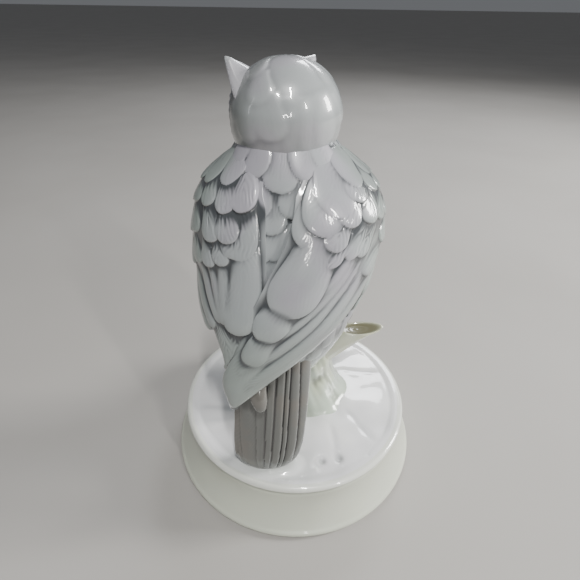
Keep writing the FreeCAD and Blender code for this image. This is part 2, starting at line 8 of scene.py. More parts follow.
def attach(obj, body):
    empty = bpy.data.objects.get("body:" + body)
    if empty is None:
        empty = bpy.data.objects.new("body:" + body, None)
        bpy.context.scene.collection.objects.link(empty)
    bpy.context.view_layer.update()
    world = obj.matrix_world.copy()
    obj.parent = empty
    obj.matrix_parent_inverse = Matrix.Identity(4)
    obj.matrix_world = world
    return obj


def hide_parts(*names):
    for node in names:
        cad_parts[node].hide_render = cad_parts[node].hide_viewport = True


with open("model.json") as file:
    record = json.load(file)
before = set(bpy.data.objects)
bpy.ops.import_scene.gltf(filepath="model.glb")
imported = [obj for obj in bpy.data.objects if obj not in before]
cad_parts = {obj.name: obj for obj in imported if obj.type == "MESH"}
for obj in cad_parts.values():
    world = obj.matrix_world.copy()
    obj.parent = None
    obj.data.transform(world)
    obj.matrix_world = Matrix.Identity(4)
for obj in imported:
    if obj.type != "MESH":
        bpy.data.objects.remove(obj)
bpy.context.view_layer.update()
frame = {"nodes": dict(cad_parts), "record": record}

rng = np.random.default_rng(7)
MM = 0.001


# ---------------------------------------------------------------- stations and base surfaces
# Rows are height, centre x, centre y, half width, half depth, in mm, lowest last.
WING = [(137.0, -4.2, -0.5, 13.5, 12.5), (132.0, -4.2, -1.0, 20.0, 17.0), (127.0, -4.0, -1.6, 26.0, 20.8),
        (122.0, -3.8, -2.2, 29.5, 23.6), (112.0, -4.0, -3.6, 32.2, 26.4), (98.0, -4.8, -6.2, 32.2, 28.0),
        (86.0, -7.2, -9.6, 29.6, 28.2), (76.0, -10.6, -13.6, 23.6, 26.4), (66.0, -15.0, -19.6, 15.4, 22.0),
        (58.0, -18.0, -24.0, 10.0, 18.5), (50.0, -18.0, -26.0, 7.0, 15.0)]
TORSO = [(139.0, -4.6, -0.2, 13.0, 12.4), (131.0, -4.2, -0.8, 18.6, 17.0), (122.0, -3.8, -1.4, 25.0, 20.6),
         (112.0, -4.0, -2.6, 28.2, 23.0), (98.0, -4.8, -4.6, 28.8, 24.6), (84.0, -5.8, -6.8, 26.6, 24.0),
         (72.0, -6.6, -8.6, 22.4, 21.6), (61.0, -7.2, -9.6, 16.5, 17.0), (52.0, -7.5, -10.5, 11.0, 12.0)]
POWER = 2.25


def stations(rows, z):
    """Smooth values of every column of a station list at heights z."""
    a = np.array(sorted(rows))
    zs = a[:, 0]
    z = np.clip(z, zs[0], zs[-1])
    i = np.clip(np.searchsorted(zs, z) - 1, 0, len(zs) - 2)
    h = zs[i + 1] - zs[i]
    t = (z - zs[i]) / h
    out = []
    for c in range(1, a.shape[1]):
        y = a[:, c]
        m = np.gradient(y, zs)
        out.append((2 * t ** 3 - 3 * t ** 2 + 1) * y[i] + (t ** 3 - 2 * t ** 2 + t) * h * m[i]
                   + (-2 * t ** 3 + 3 * t ** 2) * y[i + 1] + (t ** 3 - t ** 2) * h * m[i + 1])
    return out


def radius_at(rows, bearing, z):
    x, y, a, b = stations(rows, z)
    s, c = np.sin(bearing), -np.cos(bearing)
    k = (np.abs(s / a) ** POWER + np.abs(c / b) ** POWER) ** (-1 / POWER)
    return x, y, s, c, k


def depth_to(rows, x, y, s, c, z, far):
    """Distance from (x, y) along (s, c) to the outside of another station surface."""
    cx, cy, a, b = stations(rows, z)
    lo, hi = np.zeros_like(far), far * 1.4
    for _ in range(22):
        mid = 0.5 * (lo + hi)
        q = np.abs((x + mid * s - cx) / a) ** POWER + np.abs((y + mid * c - cy) / b) ** POWER
        lo = np.where(q < 1, mid, lo)
        hi = np.where(q < 1, hi, mid)
    return lo


def smooth_max(a, b, k):
    return np.maximum(a, b) + np.maximum(k - np.abs(a - b), 0.0) ** 2 / (4 * k)


def step(a, b, x):
    t = np.clip((x - a) / (b - a), 0, 1)
    return t * t * (3 - 2 * t)


def blur(h, n, wrap=False):
    out = h
    for axis in (0, 1):
        pad = [(0, 0), (0, 0)]
        pad[axis] = (n, n)
        q = np.pad(out, pad, mode="wrap" if (wrap and axis == 0) else "edge")
        c = np.cumsum(q, axis=axis)
        c = np.insert(c, 0, 0, axis=axis)
        if axis == 0:
            out = (c[2 * n + 1:] - c[:-2 * n - 1]) / (2 * n + 1)
        else:
            out = (c[:, 2 * n + 1:] - c[:, :-2 * n - 1]) / (2 * n + 1)
    return out


def spread(h, n, axis, wrap, op):
    """Running extreme of h over n cells each way along one axis."""
    pad = [(0, 0), (0, 0)]
    pad[axis] = (n, n)
    q = np.pad(h, pad, mode="wrap" if wrap else "edge")
    width, reach = 2 * n + 1, 1
    while reach < width:
        d = min(reach, width - reach)
        a, b = (q[:-d], q[d:]) if axis == 0 else (q[:, :-d], q[:, d:])
        q = op(a, b)
        reach += d
    return q


def fill_gaps(h, n, m, depth, wrap=False):
    """Raise the bottoms of narrow gaps so that they lie at most depth below their sides."""
    c = h
    for op in (np.maximum, np.minimum):
        c = spread(spread(c, n, 0, wrap, op), m, 1, False, op)
    c = blur(blur(c, max(2, n // 2), wrap), max(2, m // 2), wrap)
    return smooth_max(h, c - depth, 0.4)


def noise(x, y, z, scale, seed):
    """Soft lumpy field from a few seeded sine waves."""
    r = np.random.default_rng(seed)
    out = 0
    for _ in range(7):
        v = r.normal(size=3)
        v = v / np.linalg.norm(v) * r.uniform(0.6, 1.6) / scale
        out = out + np.sin(2 * np.pi * (v[0] * x + v[1] * y + v[2] * z) + r.uniform(0, 6.28))
    return out / 7 ** 0.5


# ---------------------------------------------------------------- feathers as a height field
def spine(pts, n=30):
    p = np.array(pts, float)
    if len(p) == 2:
        p = np.vstack([p[0], p.mean(0), p[1]])
    q = np.vstack([2 * p[0] - p[1], p, 2 * p[-1] - p[-2]])
    out = []
    for i in range(len(p) - 1):
        a, b, c, d = q[i], q[i + 1], q[i + 2], q[i + 3]
        m = max(2, n // (len(p) - 1))
        for t in np.linspace(0, 1, m, endpoint=i == len(p) - 2):
            out.append(0.5 * ((2 * b) + (c - a) * t + (2 * a - 5 * b + 4 * c - d) * t * t
                              + (3 * b - 3 * c + d - a) * t ** 3))
    return np.array(out)


class Plumage:
    """Overlapping feathers on a surface measured as s across and v up, both in mm."""

    def __init__(self, s, v, floor, soft=0.3, period=0.0):
        self.period = period
        self.s, self.v, self.h = s, v, floor.copy()
        self.soft = soft
        self.along = np.zeros_like(s)
        self.across = np.zeros_like(s)
        self.edge = np.full_like(s, 9.0)
        self.kind = np.zeros_like(s)
        self.size = np.ones_like(s)
        self.amp = np.ones_like(s)
        self.count = 0

    def feather(self, pts, width, base=0.0, lift=0.8, crown=0.5, steep=3.0, tilt=0.0, tone=0.0,
                tip=None, root=0.7, barb=1.0, shift=0.0):
        q = spine(pts) + (shift, 0.0)
        if self.period and not shift:
            for side in (-1, 1):
                if (q[:, 0] * side).max() > self.period / 2 - 14:
                    self.feather(pts, width, base, lift, crown, steep, tilt, tone, tip, root, barb,
                                 -side * self.period)
        reach = width * 1.5 + 3.0
        lo, hi = q.min(0) - reach, q.max(0) + reach
        m = (self.s > lo[0]) & (self.s < hi[0]) & (self.v > lo[1]) & (self.v < hi[1])
        if not m.any():
            return
        ps, pv = self.s[m], self.v[m]
        length = np.concatenate([[0], np.cumsum(np.linalg.norm(np.diff(q, axis=0), axis=1))])
        total = length[-1]
        tang = np.gradient(q, axis=0)
        tang /= np.linalg.norm(tang, axis=1)[:, None]
        best = np.full(ps.shape, 1e9)
        idx = np.zeros(ps.shape, int)
        for i in range(len(q)):
            d = (ps - q[i, 0]) ** 2 + (pv - q[i, 1]) ** 2
            near = d < best
            best[near] = d[near]
            idx[near] = i
        t = tang[idx]
        ds, dv = ps - q[idx, 0], pv - q[idx, 1]
        along = length[idx] + ds * t[:, 0] + dv * t[:, 1]
        across = t[:, 0] * dv - t[:, 1] * ds
        blunt = tip or min(width * 1.15, 0.55 * total)
        w = width * (root + (1 - root) * step(0, 0.7, along / total))
        a = np.abs(across) / w
        b = np.maximum(0, along - (total - blunt)) / blunt
        e = (a ** 2.3 + b ** 2.3) ** (1 / 2.3)
        out = np.maximum(e - 1, 0) * min(width, blunt)
        h = base + lift * np.clip(along / total, 0, 1) + crown * (1 - np.minimum(e, 1) ** 2.4)
        h += tilt * across / w - steep * out - 1.2 * np.maximum(0, -along)
        h -= 0.10 * step(0.80, 1.0, e)
        old = self.h[m]
        win = (h > old) & (e < 1.05)
        self.h[m] = smooth_max(old, h, self.soft)
        for field, value in ((self.along, along), (self.across, across), (self.edge, e)):
            v = field[m]
            v[win] = value[win]
            field[m] = v
        self.count += 1
        v = self.kind[m]
        v[win] = tone if tone else (0.5 + 0.5 * math.sin(self.count * 2.4))
        self.kind[m] = v
        for field, value in ((self.size, width), (self.amp, barb)):
            v = field[m]
            v[win] = value
            field[m] = v

    def finish(self, barb=0.055, pitch=0.95, slant=0.20, shaft=0.04):
        inside = 1 - step(0.80, 0.98, self.edge)
        n = np.abs(self.across) * (1 - slant) - self.along * slant
        wobble = 0.35 * np.sin(self.along * 0.5 + self.kind * 9) + 0.3 * noise(self.s, self.v, 0 * self.s, 5.0, 21)
        lines = np.sin(2 * np.pi * (n + wobble) / pitch + self.kind * 5)
        strength = np.clip(0.75 + 0.5 * noise(self.s, self.v, 0 * self.s, 6.0, 31), 0, 1.6)
        self.h = self.h + barb * lines * inside * strength * self.amp
        self.h = self.h - shaft * np.exp(-(self.across / 0.28) ** 2) * inside * (self.size > 2.9) * self.amp
        return self.h


# ---------------------------------------------------------------- mesh helpers
def grid_mesh(name, pts, attrs, wrap=False, cap_a=True, cap_b=True):
    """Closed shell from a (n, m, 3) grid in mm; wrap joins the first and last columns."""
    n, m = pts.shape[:2]
    verts = pts.reshape(-1, 3)
    i = np.arange(n - (0 if wrap else 1))
    j = np.arange(m - 1)
    ii, jj = np.meshgrid(i, j, indexing="ij")
    i2 = (ii + 1) % n
    faces = np.stack([ii * m + jj, i2 * m + jj, i2 * m + jj + 1, ii * m + jj + 1], -1).reshape(-1, 4)
    extra_v, tri = [], []
    base = n * m
    if wrap:
        loops = []
        if cap_a:
            loops.append([k * m for k in range(n)][::-1])
        if cap_b:
            loops.append([k * m + m - 1 for k in range(n)])
    else:
        ring = [k * m for k in range(n)] + [(n - 1) * m + k for k in range(1, m)]
        ring += [k * m + m - 1 for k in range(n - 2, -1, -1)] + [k for k in range(m - 2, 0, -1)]
        loops = [ring[::-1]]
    for loop in loops:
        c = verts[loop].mean(0)
        idx = base + len(extra_v)
        extra_v.append(c)
        tri += [(loop[k], loop[(k + 1) % len(loop)], idx) for k in range(len(loop))]
    allv = np.vstack([verts] + ([np.array(extra_v)] if extra_v else []))
    me = bpy.data.meshes.new(name)
    quads, tris = len(faces), len(tri)
    me.vertices.add(len(allv))
    me.vertices.foreach_set("co", (allv * MM).astype(np.float32).ravel())
    loops_flat = np.concatenate([faces.ravel(), np.array(tri, int).ravel()]) if tri else faces.ravel()
    me.loops.add(len(loops_flat))
    me.loops.foreach_set("vertex_index", loops_flat.astype(np.int32))
    me.polygons.add(quads + tris)
    starts = np.concatenate([np.arange(quads) * 4, quads * 4 + np.arange(tris) * 3]).astype(np.int32)
    me.polygons.foreach_set("loop_start", starts)
    me.polygons.foreach_set("use_smooth", np.ones(quads + tris, bool))
    me.update(calc_edges=True)
    me.validate()
    for key, value in attrs.items():
        at = me.attributes.new(key, "FLOAT", "POINT")
        full = np.concatenate([value.ravel(), np.full(len(extra_v), float(value.mean()))])
        at.data.foreach_set("value", full.astype(np.float32))
    obj = bpy.data.objects.new(name, me)
    bpy.context.collection.objects.link(obj)
    return obj


def flip_if_inward(obj):
    """Face the shell outwards, judged by its signed volume."""
    me = obj.data
    co = np.empty(len(me.vertices) * 3)
    me.vertices.foreach_get("co", co)
    co = co.reshape(-1, 3)
    me.calc_loop_triangles()
    t = np.empty(len(me.loop_triangles) * 3, int)
    me.loop_triangles.foreach_get("vertices", t)
    t = t.reshape(-1, 3)
    vol = np.einsum("ij,ij->i", co[t[:, 0]], np.cross(co[t[:, 1]], co[t[:, 2]])).sum()
    if vol < 0:
        me.flip_normals()
    return obj


# Recess depth for painted shade: how far a point lies below its blurred surroundings, later darkened as painted shade
# in creases and hollows, partly glaze pooled there.
def pool_and_shade_of(h, n=4, wrap=False, gain=2.2):
    soft = blur(h, n, wrap)
    soft2 = blur(h, n * 3, wrap)
    return np.clip(0.5 + gain * (0.6 * (soft - h) + 0.4 * (soft2 - h)), 0, 1)


def tube(name, centres, radii, n=40, up=(0, 0, 1)):
    """Swept piece closed with flat caps at both ends; radii may be pairs (across, up)."""
    c = np.array(centres, float)
    m = len(c)
    tang = np.gradient(c, axis=0)
    tang /= np.linalg.norm(tang, axis=1)[:, None]
    up = np.array(up, float)
    pts = np.zeros((n, m, 3))
    for j in range(m):
        side = np.cross(tang[j], up)
        side /= np.linalg.norm(side)
        nrm = np.cross(side, tang[j])
        ra, rb = radii[j] if isinstance(radii[j], tuple) else (radii[j], radii[j])
        for i in range(n):
            a = 2 * math.pi * i / n
            pts[i, j] = c[j] + side * (ra * math.cos(a)) + nrm * (rb * math.sin(a))
    return flip_if_inward(grid_mesh(name, pts, {"pool_and_shade": np.full((n, m), 0.5)}, wrap=True))


# ---------------------------------------------------------------- wings
RS = 27.0


def wing(name, rows_lo_hi, feathers, lower, nu, nv, z0, z1, flank_shade_and_tint):
    a = np.array(rows_lo_hi, float)
    order = np.argsort(a[:, 0])
    a = a[order]
    z = np.linspace(z0, z1, nv)
    lo = np.interp(z, a[:, 0], a[:, 1])
    hi = np.interp(z, a[:, 0], a[:, 2])
    u = np.linspace(0, 1, nu)
    phi = np.radians(lo[None, :] + (hi - lo)[None, :] * u[:, None])
    zz = np.broadcast_to(z[None, :], phi.shape).copy()
    x, y, s, c, k = radius_at(WING, phi, zz)
    inner = depth_to(TORSO, x, y, s, c, zz, k)
    floor = -(k - inner) - 1.6
    p = Plumage(phi * RS, zz, floor)
    feathers(p)
    n = int(2.6 / (math.radians(float((hi - lo).mean())) * RS / nu))
    p.h = fill_gaps(p.h, n, int(2.6 * nv / (z1 - z0)), 0.6)
    h = p.finish()
    h = h - lower
    lift = np.clip(h, floor, 6.0)
    r = k + lift
    pts = np.stack([x + r * s, y + r * c, zz - 0.10 * np.clip(lift, 0, 2)], -1)
    top = np.clip(h, -3.0, 6.0)
    obj = grid_mesh(name, pts, {"pool_and_shade": pool_and_shade_of(top, 5), "tone": p.kind,
                                "low": np.clip(step(110, 66, zz) + flank_shade_and_tint(np.degrees(phi)), 0, 1)})
    return flip_if_inward(obj)


def scallops(p, rows, tone=0.0, crown=0.38, barb=1.0, lift=0.7):
    for pts, w, base in rows:
        q = [(math.radians(f) * RS, z) for f, z in pts]
        p.feather(q, w, base=base, lift=lift, crown=crown, tone=tone, barb=barb)


def long_feathers(p, rows, tilt=0.0, lift=0.5, crown=0.55, barb=1.0):
    for pts, w, base in rows:
        q = [(math.radians(f) * RS, z) for f, z in pts]
        p.feather(q, w, base=base, lift=lift, crown=crown, tilt=tilt, root=0.8, barb=barb)


def right_feathers(p):
    # lowest long feathers first: bearings in degrees from straight back, heights in mm
    long_feathers(p, [
        ([(78, 117), (66, 107), (55, 98.0), (42, 90.0), (28, 82.5), (12, 74.6), (-2, 67.4), (-20.0, 59.2)],
            4.4, -0.1),
        ([(70, 118), (56.6, 110.0), (48.9, 101.8), (38.7, 94.0), (28.0, 86.5), (15.5, 79.2), (0.6, 71.6),
            (-20.0, 61.6)],
         4.0, 0.3),
        ([(62, 119), (52.6, 112.3), (44.4, 104.7), (32.3, 97.0), (21.4, 90.0), (7.3, 83.0), (-5.6, 77.5),
            (-18.0, 72.0)],
         3.2, 0.4),
        ([(58, 120), (47.7, 113.1), (38.6, 105.5), (25.9, 98.2), (11.4, 91.4), (-1.1, 86.6), (-13.0, 82.0)],
            3.2, 0.8),
        ([(52, 120), (42.9, 111.8), (32.2, 105.2), (19.7, 98.8), (5.6, 93.2), (-8.6, 88.6)], 3.3, 1.2)],
        tilt=-0.7, crown=1.05, barb=0.3)
    long_feathers(p, [
        ([(30, 127.5), (17, 122.5), (11, 117), (8, 110), (0, 102), (-6, 95), (-12, 86), (-17, 77), (-21, 68)],
            4.4, 0.3)],
        lift=0.3, crown=0.9, barb=0.1)
    long_feathers(p, [
        ([(2, 90), (-4.5, 84.6), (-12.4, 76.0), (-22.0, 62.6)], 6.2, 0.8),
        ([(8, 96.0), (-1.0, 91.2), (-7.6, 85.0), (-11.6, 77.2)], 4.4, 1.3),
        ([(12, 104.0), (2.7, 98.4), (-4.0, 92.4), (-7.6, 86.4)], 5.4, 2.0),
        ([(20, 117), (13.6, 109.0), (6.0, 101.6), (0.6, 94.6)], 7.6, 2.5)], lift=0.7, crown=0.9, barb=0.18)
    scallops(p, [
        ([(66, 110.0), (58, 106.4), (51, 102.6)], 2.8, 1.2),
        ([(58.5, 117.2), (50.3, 113.7), (43.5, 109.8)], 3.0, 1.6),
        ([(49.7, 117.6), (42.1, 114.2), (34.7, 110.5)], 3.3, 2.0),
        ([(37.8, 117.6), (29.2, 113.2), (22.1, 109.0)], 3.6, 2.4),
        ([(82, 118.0), (74, 113.8), (67, 110.0)], 2.8, 1.4),
        ([(36.8, 121.0), (30.4, 117.2), (25.6, 113.4)], 3.7, 2.9),
        ([(76.6, 125.2), (69.8, 121.6), (63.3, 118.0)], 3.1, 2.0),
        ([(62.0, 126.6), (56.8, 122.6), (50.8, 119.0)], 3.9, 2.5),
        ([(44.5, 126.8), (40.2, 123.0), (36.0, 119.3)], 4.1, 3.0),
        ([(92, 123.0), (86, 119.4), (79, 116.0)], 3.1, 1.6),
        ([(104, 119.0), (98, 114.0), (92, 110.0)], 3.2, 1.0),
        ([(104, 127.0), (98, 122.6), (93, 119.0)], 3.4, 1.6),
        ([(112, 113.0), (106, 107.0), (100, 101.5)], 3.2, 0.4),
        ([(90, 131.0), (85, 127.6), (79.0, 124.6)], 3.4, 2.4),
        ([(73.0, 132.0), (70.5, 129.2), (66.5, 125.6)], 3.5, 2.8),
        ([(53.5, 131.2), (49.8, 128.0), (45.8, 125.2)], 4.1, 3.3),
        ([(84, 135.0), (79.0, 132.0), (74.8, 129.2)], 3.3, 2.9),
        ([(102, 133.0), (97.0, 130.0), (92.0, 127.2)], 3.3, 2.4)])
    long_feathers(p, [
        ([(98, 104.0), (88, 98.5), (76, 92.0), (66, 86.0)], 3.0, -0.6),
        ([(100, 110.0), (90, 104.5), (78, 98.5), (64, 92.5)], 3.0, -0.2)], lift=0.3)
    scallops(p, [
        ([(32.0, 128.5), (18.4, 121.6), (11.6, 113.9)], 6.4, 2.7),
        ([(42.1, 132.0), (25.5, 125.3), (18.0, 117.8)], 6.4, 3.2),
        ([(56.2, 136.2), (36.6, 129.8), (28.0, 122.5)], 6.6, 3.4),
        ([(70.0, 137.2), (57.0, 134.2), (46.5, 129.6)], 5.6, 3.6)], tone=0.2, crown=0.30, barb=0.2, lift=0.5)


def left_feathers(p):
    long_feathers(p, [
        ([(-66, 98.0), (-52, 89.0), (-38.4, 81.6), (-23.0, 70.8)], 3.0, -0.9),
        ([(-54, 96.3), (-42.1, 88.3), (-31.0, 80.0), (-21.7, 69.0)], 3.6, -0.4),
        ([(-34.0, 95.4), (-26.4, 86.6), (-21.0, 76.0), (-19.0, 67.0)], 5.0, -0.2)], tilt=0.2)
    long_feathers(p, [
        ([(-88, 104.0), (-78, 96.0), (-66, 88.5), (-52, 82.0)], 3.0, -0.8),
        ([(-78, 108.0), (-68, 99.5), (-57, 91.5), (-44, 84.8)], 3.0, -0.4),
        ([(-66, 112.0), (-56.8, 104.0), (-48.7, 96.0), (-36.6, 88.3)], 2.9, 0.1),
        ([(-53, 113.0), (-47.8, 105.5), (-42.2, 98.2), (-33.3, 88.3)], 2.9, 0.5),
        ([(-43, 114.0), (-39.2, 107.0), (-36.0, 98.4), (-30.6, 88.9)], 3.4, 0.9),
        ([(-27.0, 118.0), (-25.4, 108.8), (-25.0, 98.4), (-25.2, 86.6)], 5.2, 1.4)], lift=0.4, crown=0.9, barb=0.25)
    long_feathers(p, [
        ([(-38, 131.5), (-30, 127), (-27, 120), (-26, 110), (-25, 100), (-25.5, 93)], 3.8, 0.5)],
        lift=0.3, crown=0.9, barb=0.15)
    scallops(p, [
        ([(-96, 106.0), (-91, 101.5), (-85, 97.5)], 3.0, 0.2),
        ([(-81, 110.0), (-76, 105.0), (-71, 100.8)], 2.9, 0.6),
        ([(-66.5, 112.1), (-63.8, 108.0), (-60.4, 103.8)], 2.8, 1.0),
        ([(-53.6, 113.2), (-51.1, 109.4), (-49.5, 104.9)], 2.9, 1.4),
        ([(-44.6, 114.9), (-41.6, 111.2), (-39.8, 106.8)], 2.9, 1.7),
        ([(-100, 115.0), (-95, 110.0), (-90, 106.0)], 3.1, 0.6),
        ([(-86, 119.0), (-82, 114.0), (-78, 110.0)], 3.1, 1.1),
        ([(-71.1, 121.1), (-67.7, 116.7), (-64.5, 112.8)], 3.0, 1.6),
        ([(-56.0, 122.0), (-51.2, 117.8), (-47.4, 112.9)], 3.5, 2.0),
        ([(-31.2, 124.3), (-30.4, 117.0), (-31.8, 109.6)], 5.7, 1.8),
        ([(-42.2, 122.9), (-38.9, 118.6), (-36.2, 113.9)], 3.6, 2.3),
        ([(-103, 124.0), (-98, 119.0), (-94, 115.0)], 3.2, 1.0),
        ([(-90, 127.0), (-86, 123.0), (-82, 119.0)], 3.2, 1.6),
        ([(-77.4, 128.2), (-73.6, 124.8), (-70.2, 121.0)], 3.1, 2.1),
        ([(-64.0, 129.0), (-59.0, 125.8), (-54.5, 122.4)], 3.5, 2.5),
        ([(-50.0, 129.6), (-44.1, 126.0), (-40.0, 121.9)], 3.7, 2.8),
        ([(-36.0, 131.4), (-31.5, 127.2), (-28.8, 122.9)], 4.2, 3.0),
        ([(-100, 131.0), (-95, 128.0), (-90, 124.6)], 3.2, 2.0),
        ([(-88, 133.0), (-82.6, 130.0), (-77.6, 126.7)], 3.3, 2.6),
        ([(-80.4, 136.0), (-69.5, 131.8), (-62.5, 127.9)], 4.0, 2.9),
        ([(-60.0, 137.0), (-49.2, 133.4), (-41.8, 129.6)], 5.2, 3.1)], crown=0.30)


right_span = [(56, -42, 2), (60, -40, 4), (66, -38, 12), (76, -30, 38), (86, -24, 66), (96, -18, 90),
              (106, -10, 108), (114, -2, 120), (120, 2, 122), (127, 6, 122), (132, 16, 120), (138, 30, 118)]
left_span = [(56, -60, 4), (66, -70, 2), (76, -86, 0), (86, -100, -4), (96, -112, -8), (106, -118, -12),
             (116, -120, -14), (124, -118, -16), (132, -114, -22), (138, -110, -32)]
# The low channel makes the wings darker and greener towards the bottom and on the outer flank: on the left wing the
# flank term is painted shade on the side away from the light, on the right wing a darker green-grey tint of the
# glaze.
right_wing = wing("right_wing_glazed", right_span, right_feathers, 2.1, 290, 250, 57.0, 137.0,
                  lambda a: 0.85 * step(38, 66, a))
left_wing = wing("left_wing_glazed", left_span, left_feathers, 2.1, 280, 250, 60.0, 137.0,
                 lambda a: 0.9 * step(-42, -66, a))


left_tip = tube("left_wing_tip_glazed", [(-14.0, -34.0, 68.0), (-13.4, -37.0, 64.0), (-12.6, -38.8, 60.5),
                                         (-12.2, -39.5, 58.0), (-12.1, -39.7, 56.9), (-12.1, -39.7, 56.5)],
                [(3.2, 1.8), (3.1, 1.9), (2.7, 1.8), (2.0, 1.5), (1.0, 0.8), (0.05, 0.05)], 40, up=(0, -1, 0))

# ---------------------------------------------------------------- torso with back and breast feathers
def torso():
    nu, nv = 310, 220
    phi1 = np.radians(np.linspace(-180, 180, nu, endpoint=False))
    z = np.linspace(52.5, 139.0, nv)
    phi, zz = np.meshgrid(phi1, z, indexing="ij")
    x, y, s, c, k = radius_at(TORSO, phi, zz)
    deg = np.degrees(phi)
    thigh = np.zeros_like(k)
    for side in (-26, 26):
        d = (((deg - 180 - side + 180) % 360) - 180) / 24.0
        thigh += 3.2 * np.exp(-d * d - ((zz - 68) / 9.0) ** 2)
    k = k + thigh
    p = Plumage(phi * RS, zz, np.full_like(k, -0.8), period=2 * math.pi * RS)
    rows = 14
    for row in range(rows):
        zt = 58.0 + row * 5.6
        n = 22
        for i in range(n):
            f = -180 + 360 * (i + (0.5 if row % 2 else 0)) / n
            if -62 < f < 58 and zt > 76:
                continue
            w = 4.4 * (0.8 + 0.2 * math.sin(row * 1.7))
            base = 0.02 * row
            fs = math.radians(f) * RS
            p.feather([(fs, zt + 9.0), (fs, zt + 4.5), (fs + rng.uniform(-0.4, 0.4), zt)], w, base=base,
                      lift=0.8, crown=0.35)
    back_rows = [
        ([(-17.4, 109.2), (-16.8, 100.9), (-18.8, 91.1)], 3.2, 0.0),
        ([(-8.9, 111.5), (-11.6, 105.6), (-13.6, 98.9)], 4.0, 0.1),
        ([(-16, 104.0), (-17, 96.0), (-18.0, 86.0)], 4.6, -0.3),
        ([(-19.5, 118.6), (-18.6, 114.0), (-18.1, 107.8)], 4.9, 0.4),
        ([(-2.7, 119.8), (-5.9, 114.8), (-8.6, 108.4)], 5.0, 0.5),
        ([(-10.5, 126.2), (-11.8, 121.4), (-11.4, 116.1)], 5.6, 0.9),
        ([(-22.6, 130.1), (-21.2, 125.9), (-20.6, 120.8)], 4.4, 1.2),
        ([(9.3, 130.4), (5.4, 125.8), (2.6, 120.5)], 6.0, 1.2),
        ([(-4.6, 138.6), (-6.0, 133.2), (-6.8, 127.2)], 7.6, 1.5),
        ([(-33.0, 139.0), (-29.4, 135.4), (-26.0, 130.6)], 6.4, 1.8),
        ([(24.3, 139.0), (18.2, 135.4), (12.3, 130.2)], 7.6, 1.7),
        ([(46.0, 139.0), (40.0, 136.0), (33.0, 131.4)], 7.0, 1.6),
        ([(-58.0, 139.0), (-52.0, 136.4), (-45.0, 132.6)], 6.6, 1.6)]
    scallops(p, back_rows, crown=0.16, barb=0.35, lift=0.45)
    p.h = fill_gaps(p.h, 7, 7, 0.3, True)
    h = p.finish()
    r = k + h
    pts = np.stack([x + r * s, y + r * c, zz], -1)
    return flip_if_inward(grid_mesh("owl_body_glazed", pts, {"pool_and_shade": pool_and_shade_of(h, 3, True), "tone": p.kind,
                                                             "low": step(100, 60, zz)}, wrap=True))


body = torso()

# ---------------------------------------------------------------- head
HC = np.array([-5.2, 0.2, 142.8])
HR = np.array([16.3, 16.6, 15.7])
FACE = math.radians(48.0)
EYE_X, EYE_Z, EYE_R, PUPIL_R = 6.4, 0.4, 3.5, 1.9
DISC_X, DISC_Z, DISC_W, DISC_H = 6.6, 0.8, 7.6, 9.2
AHEAD = np.array([-math.sin(FACE), math.cos(FACE), 0.0])
ACROSS = np.array([math.cos(FACE), math.sin(FACE), 0.0])


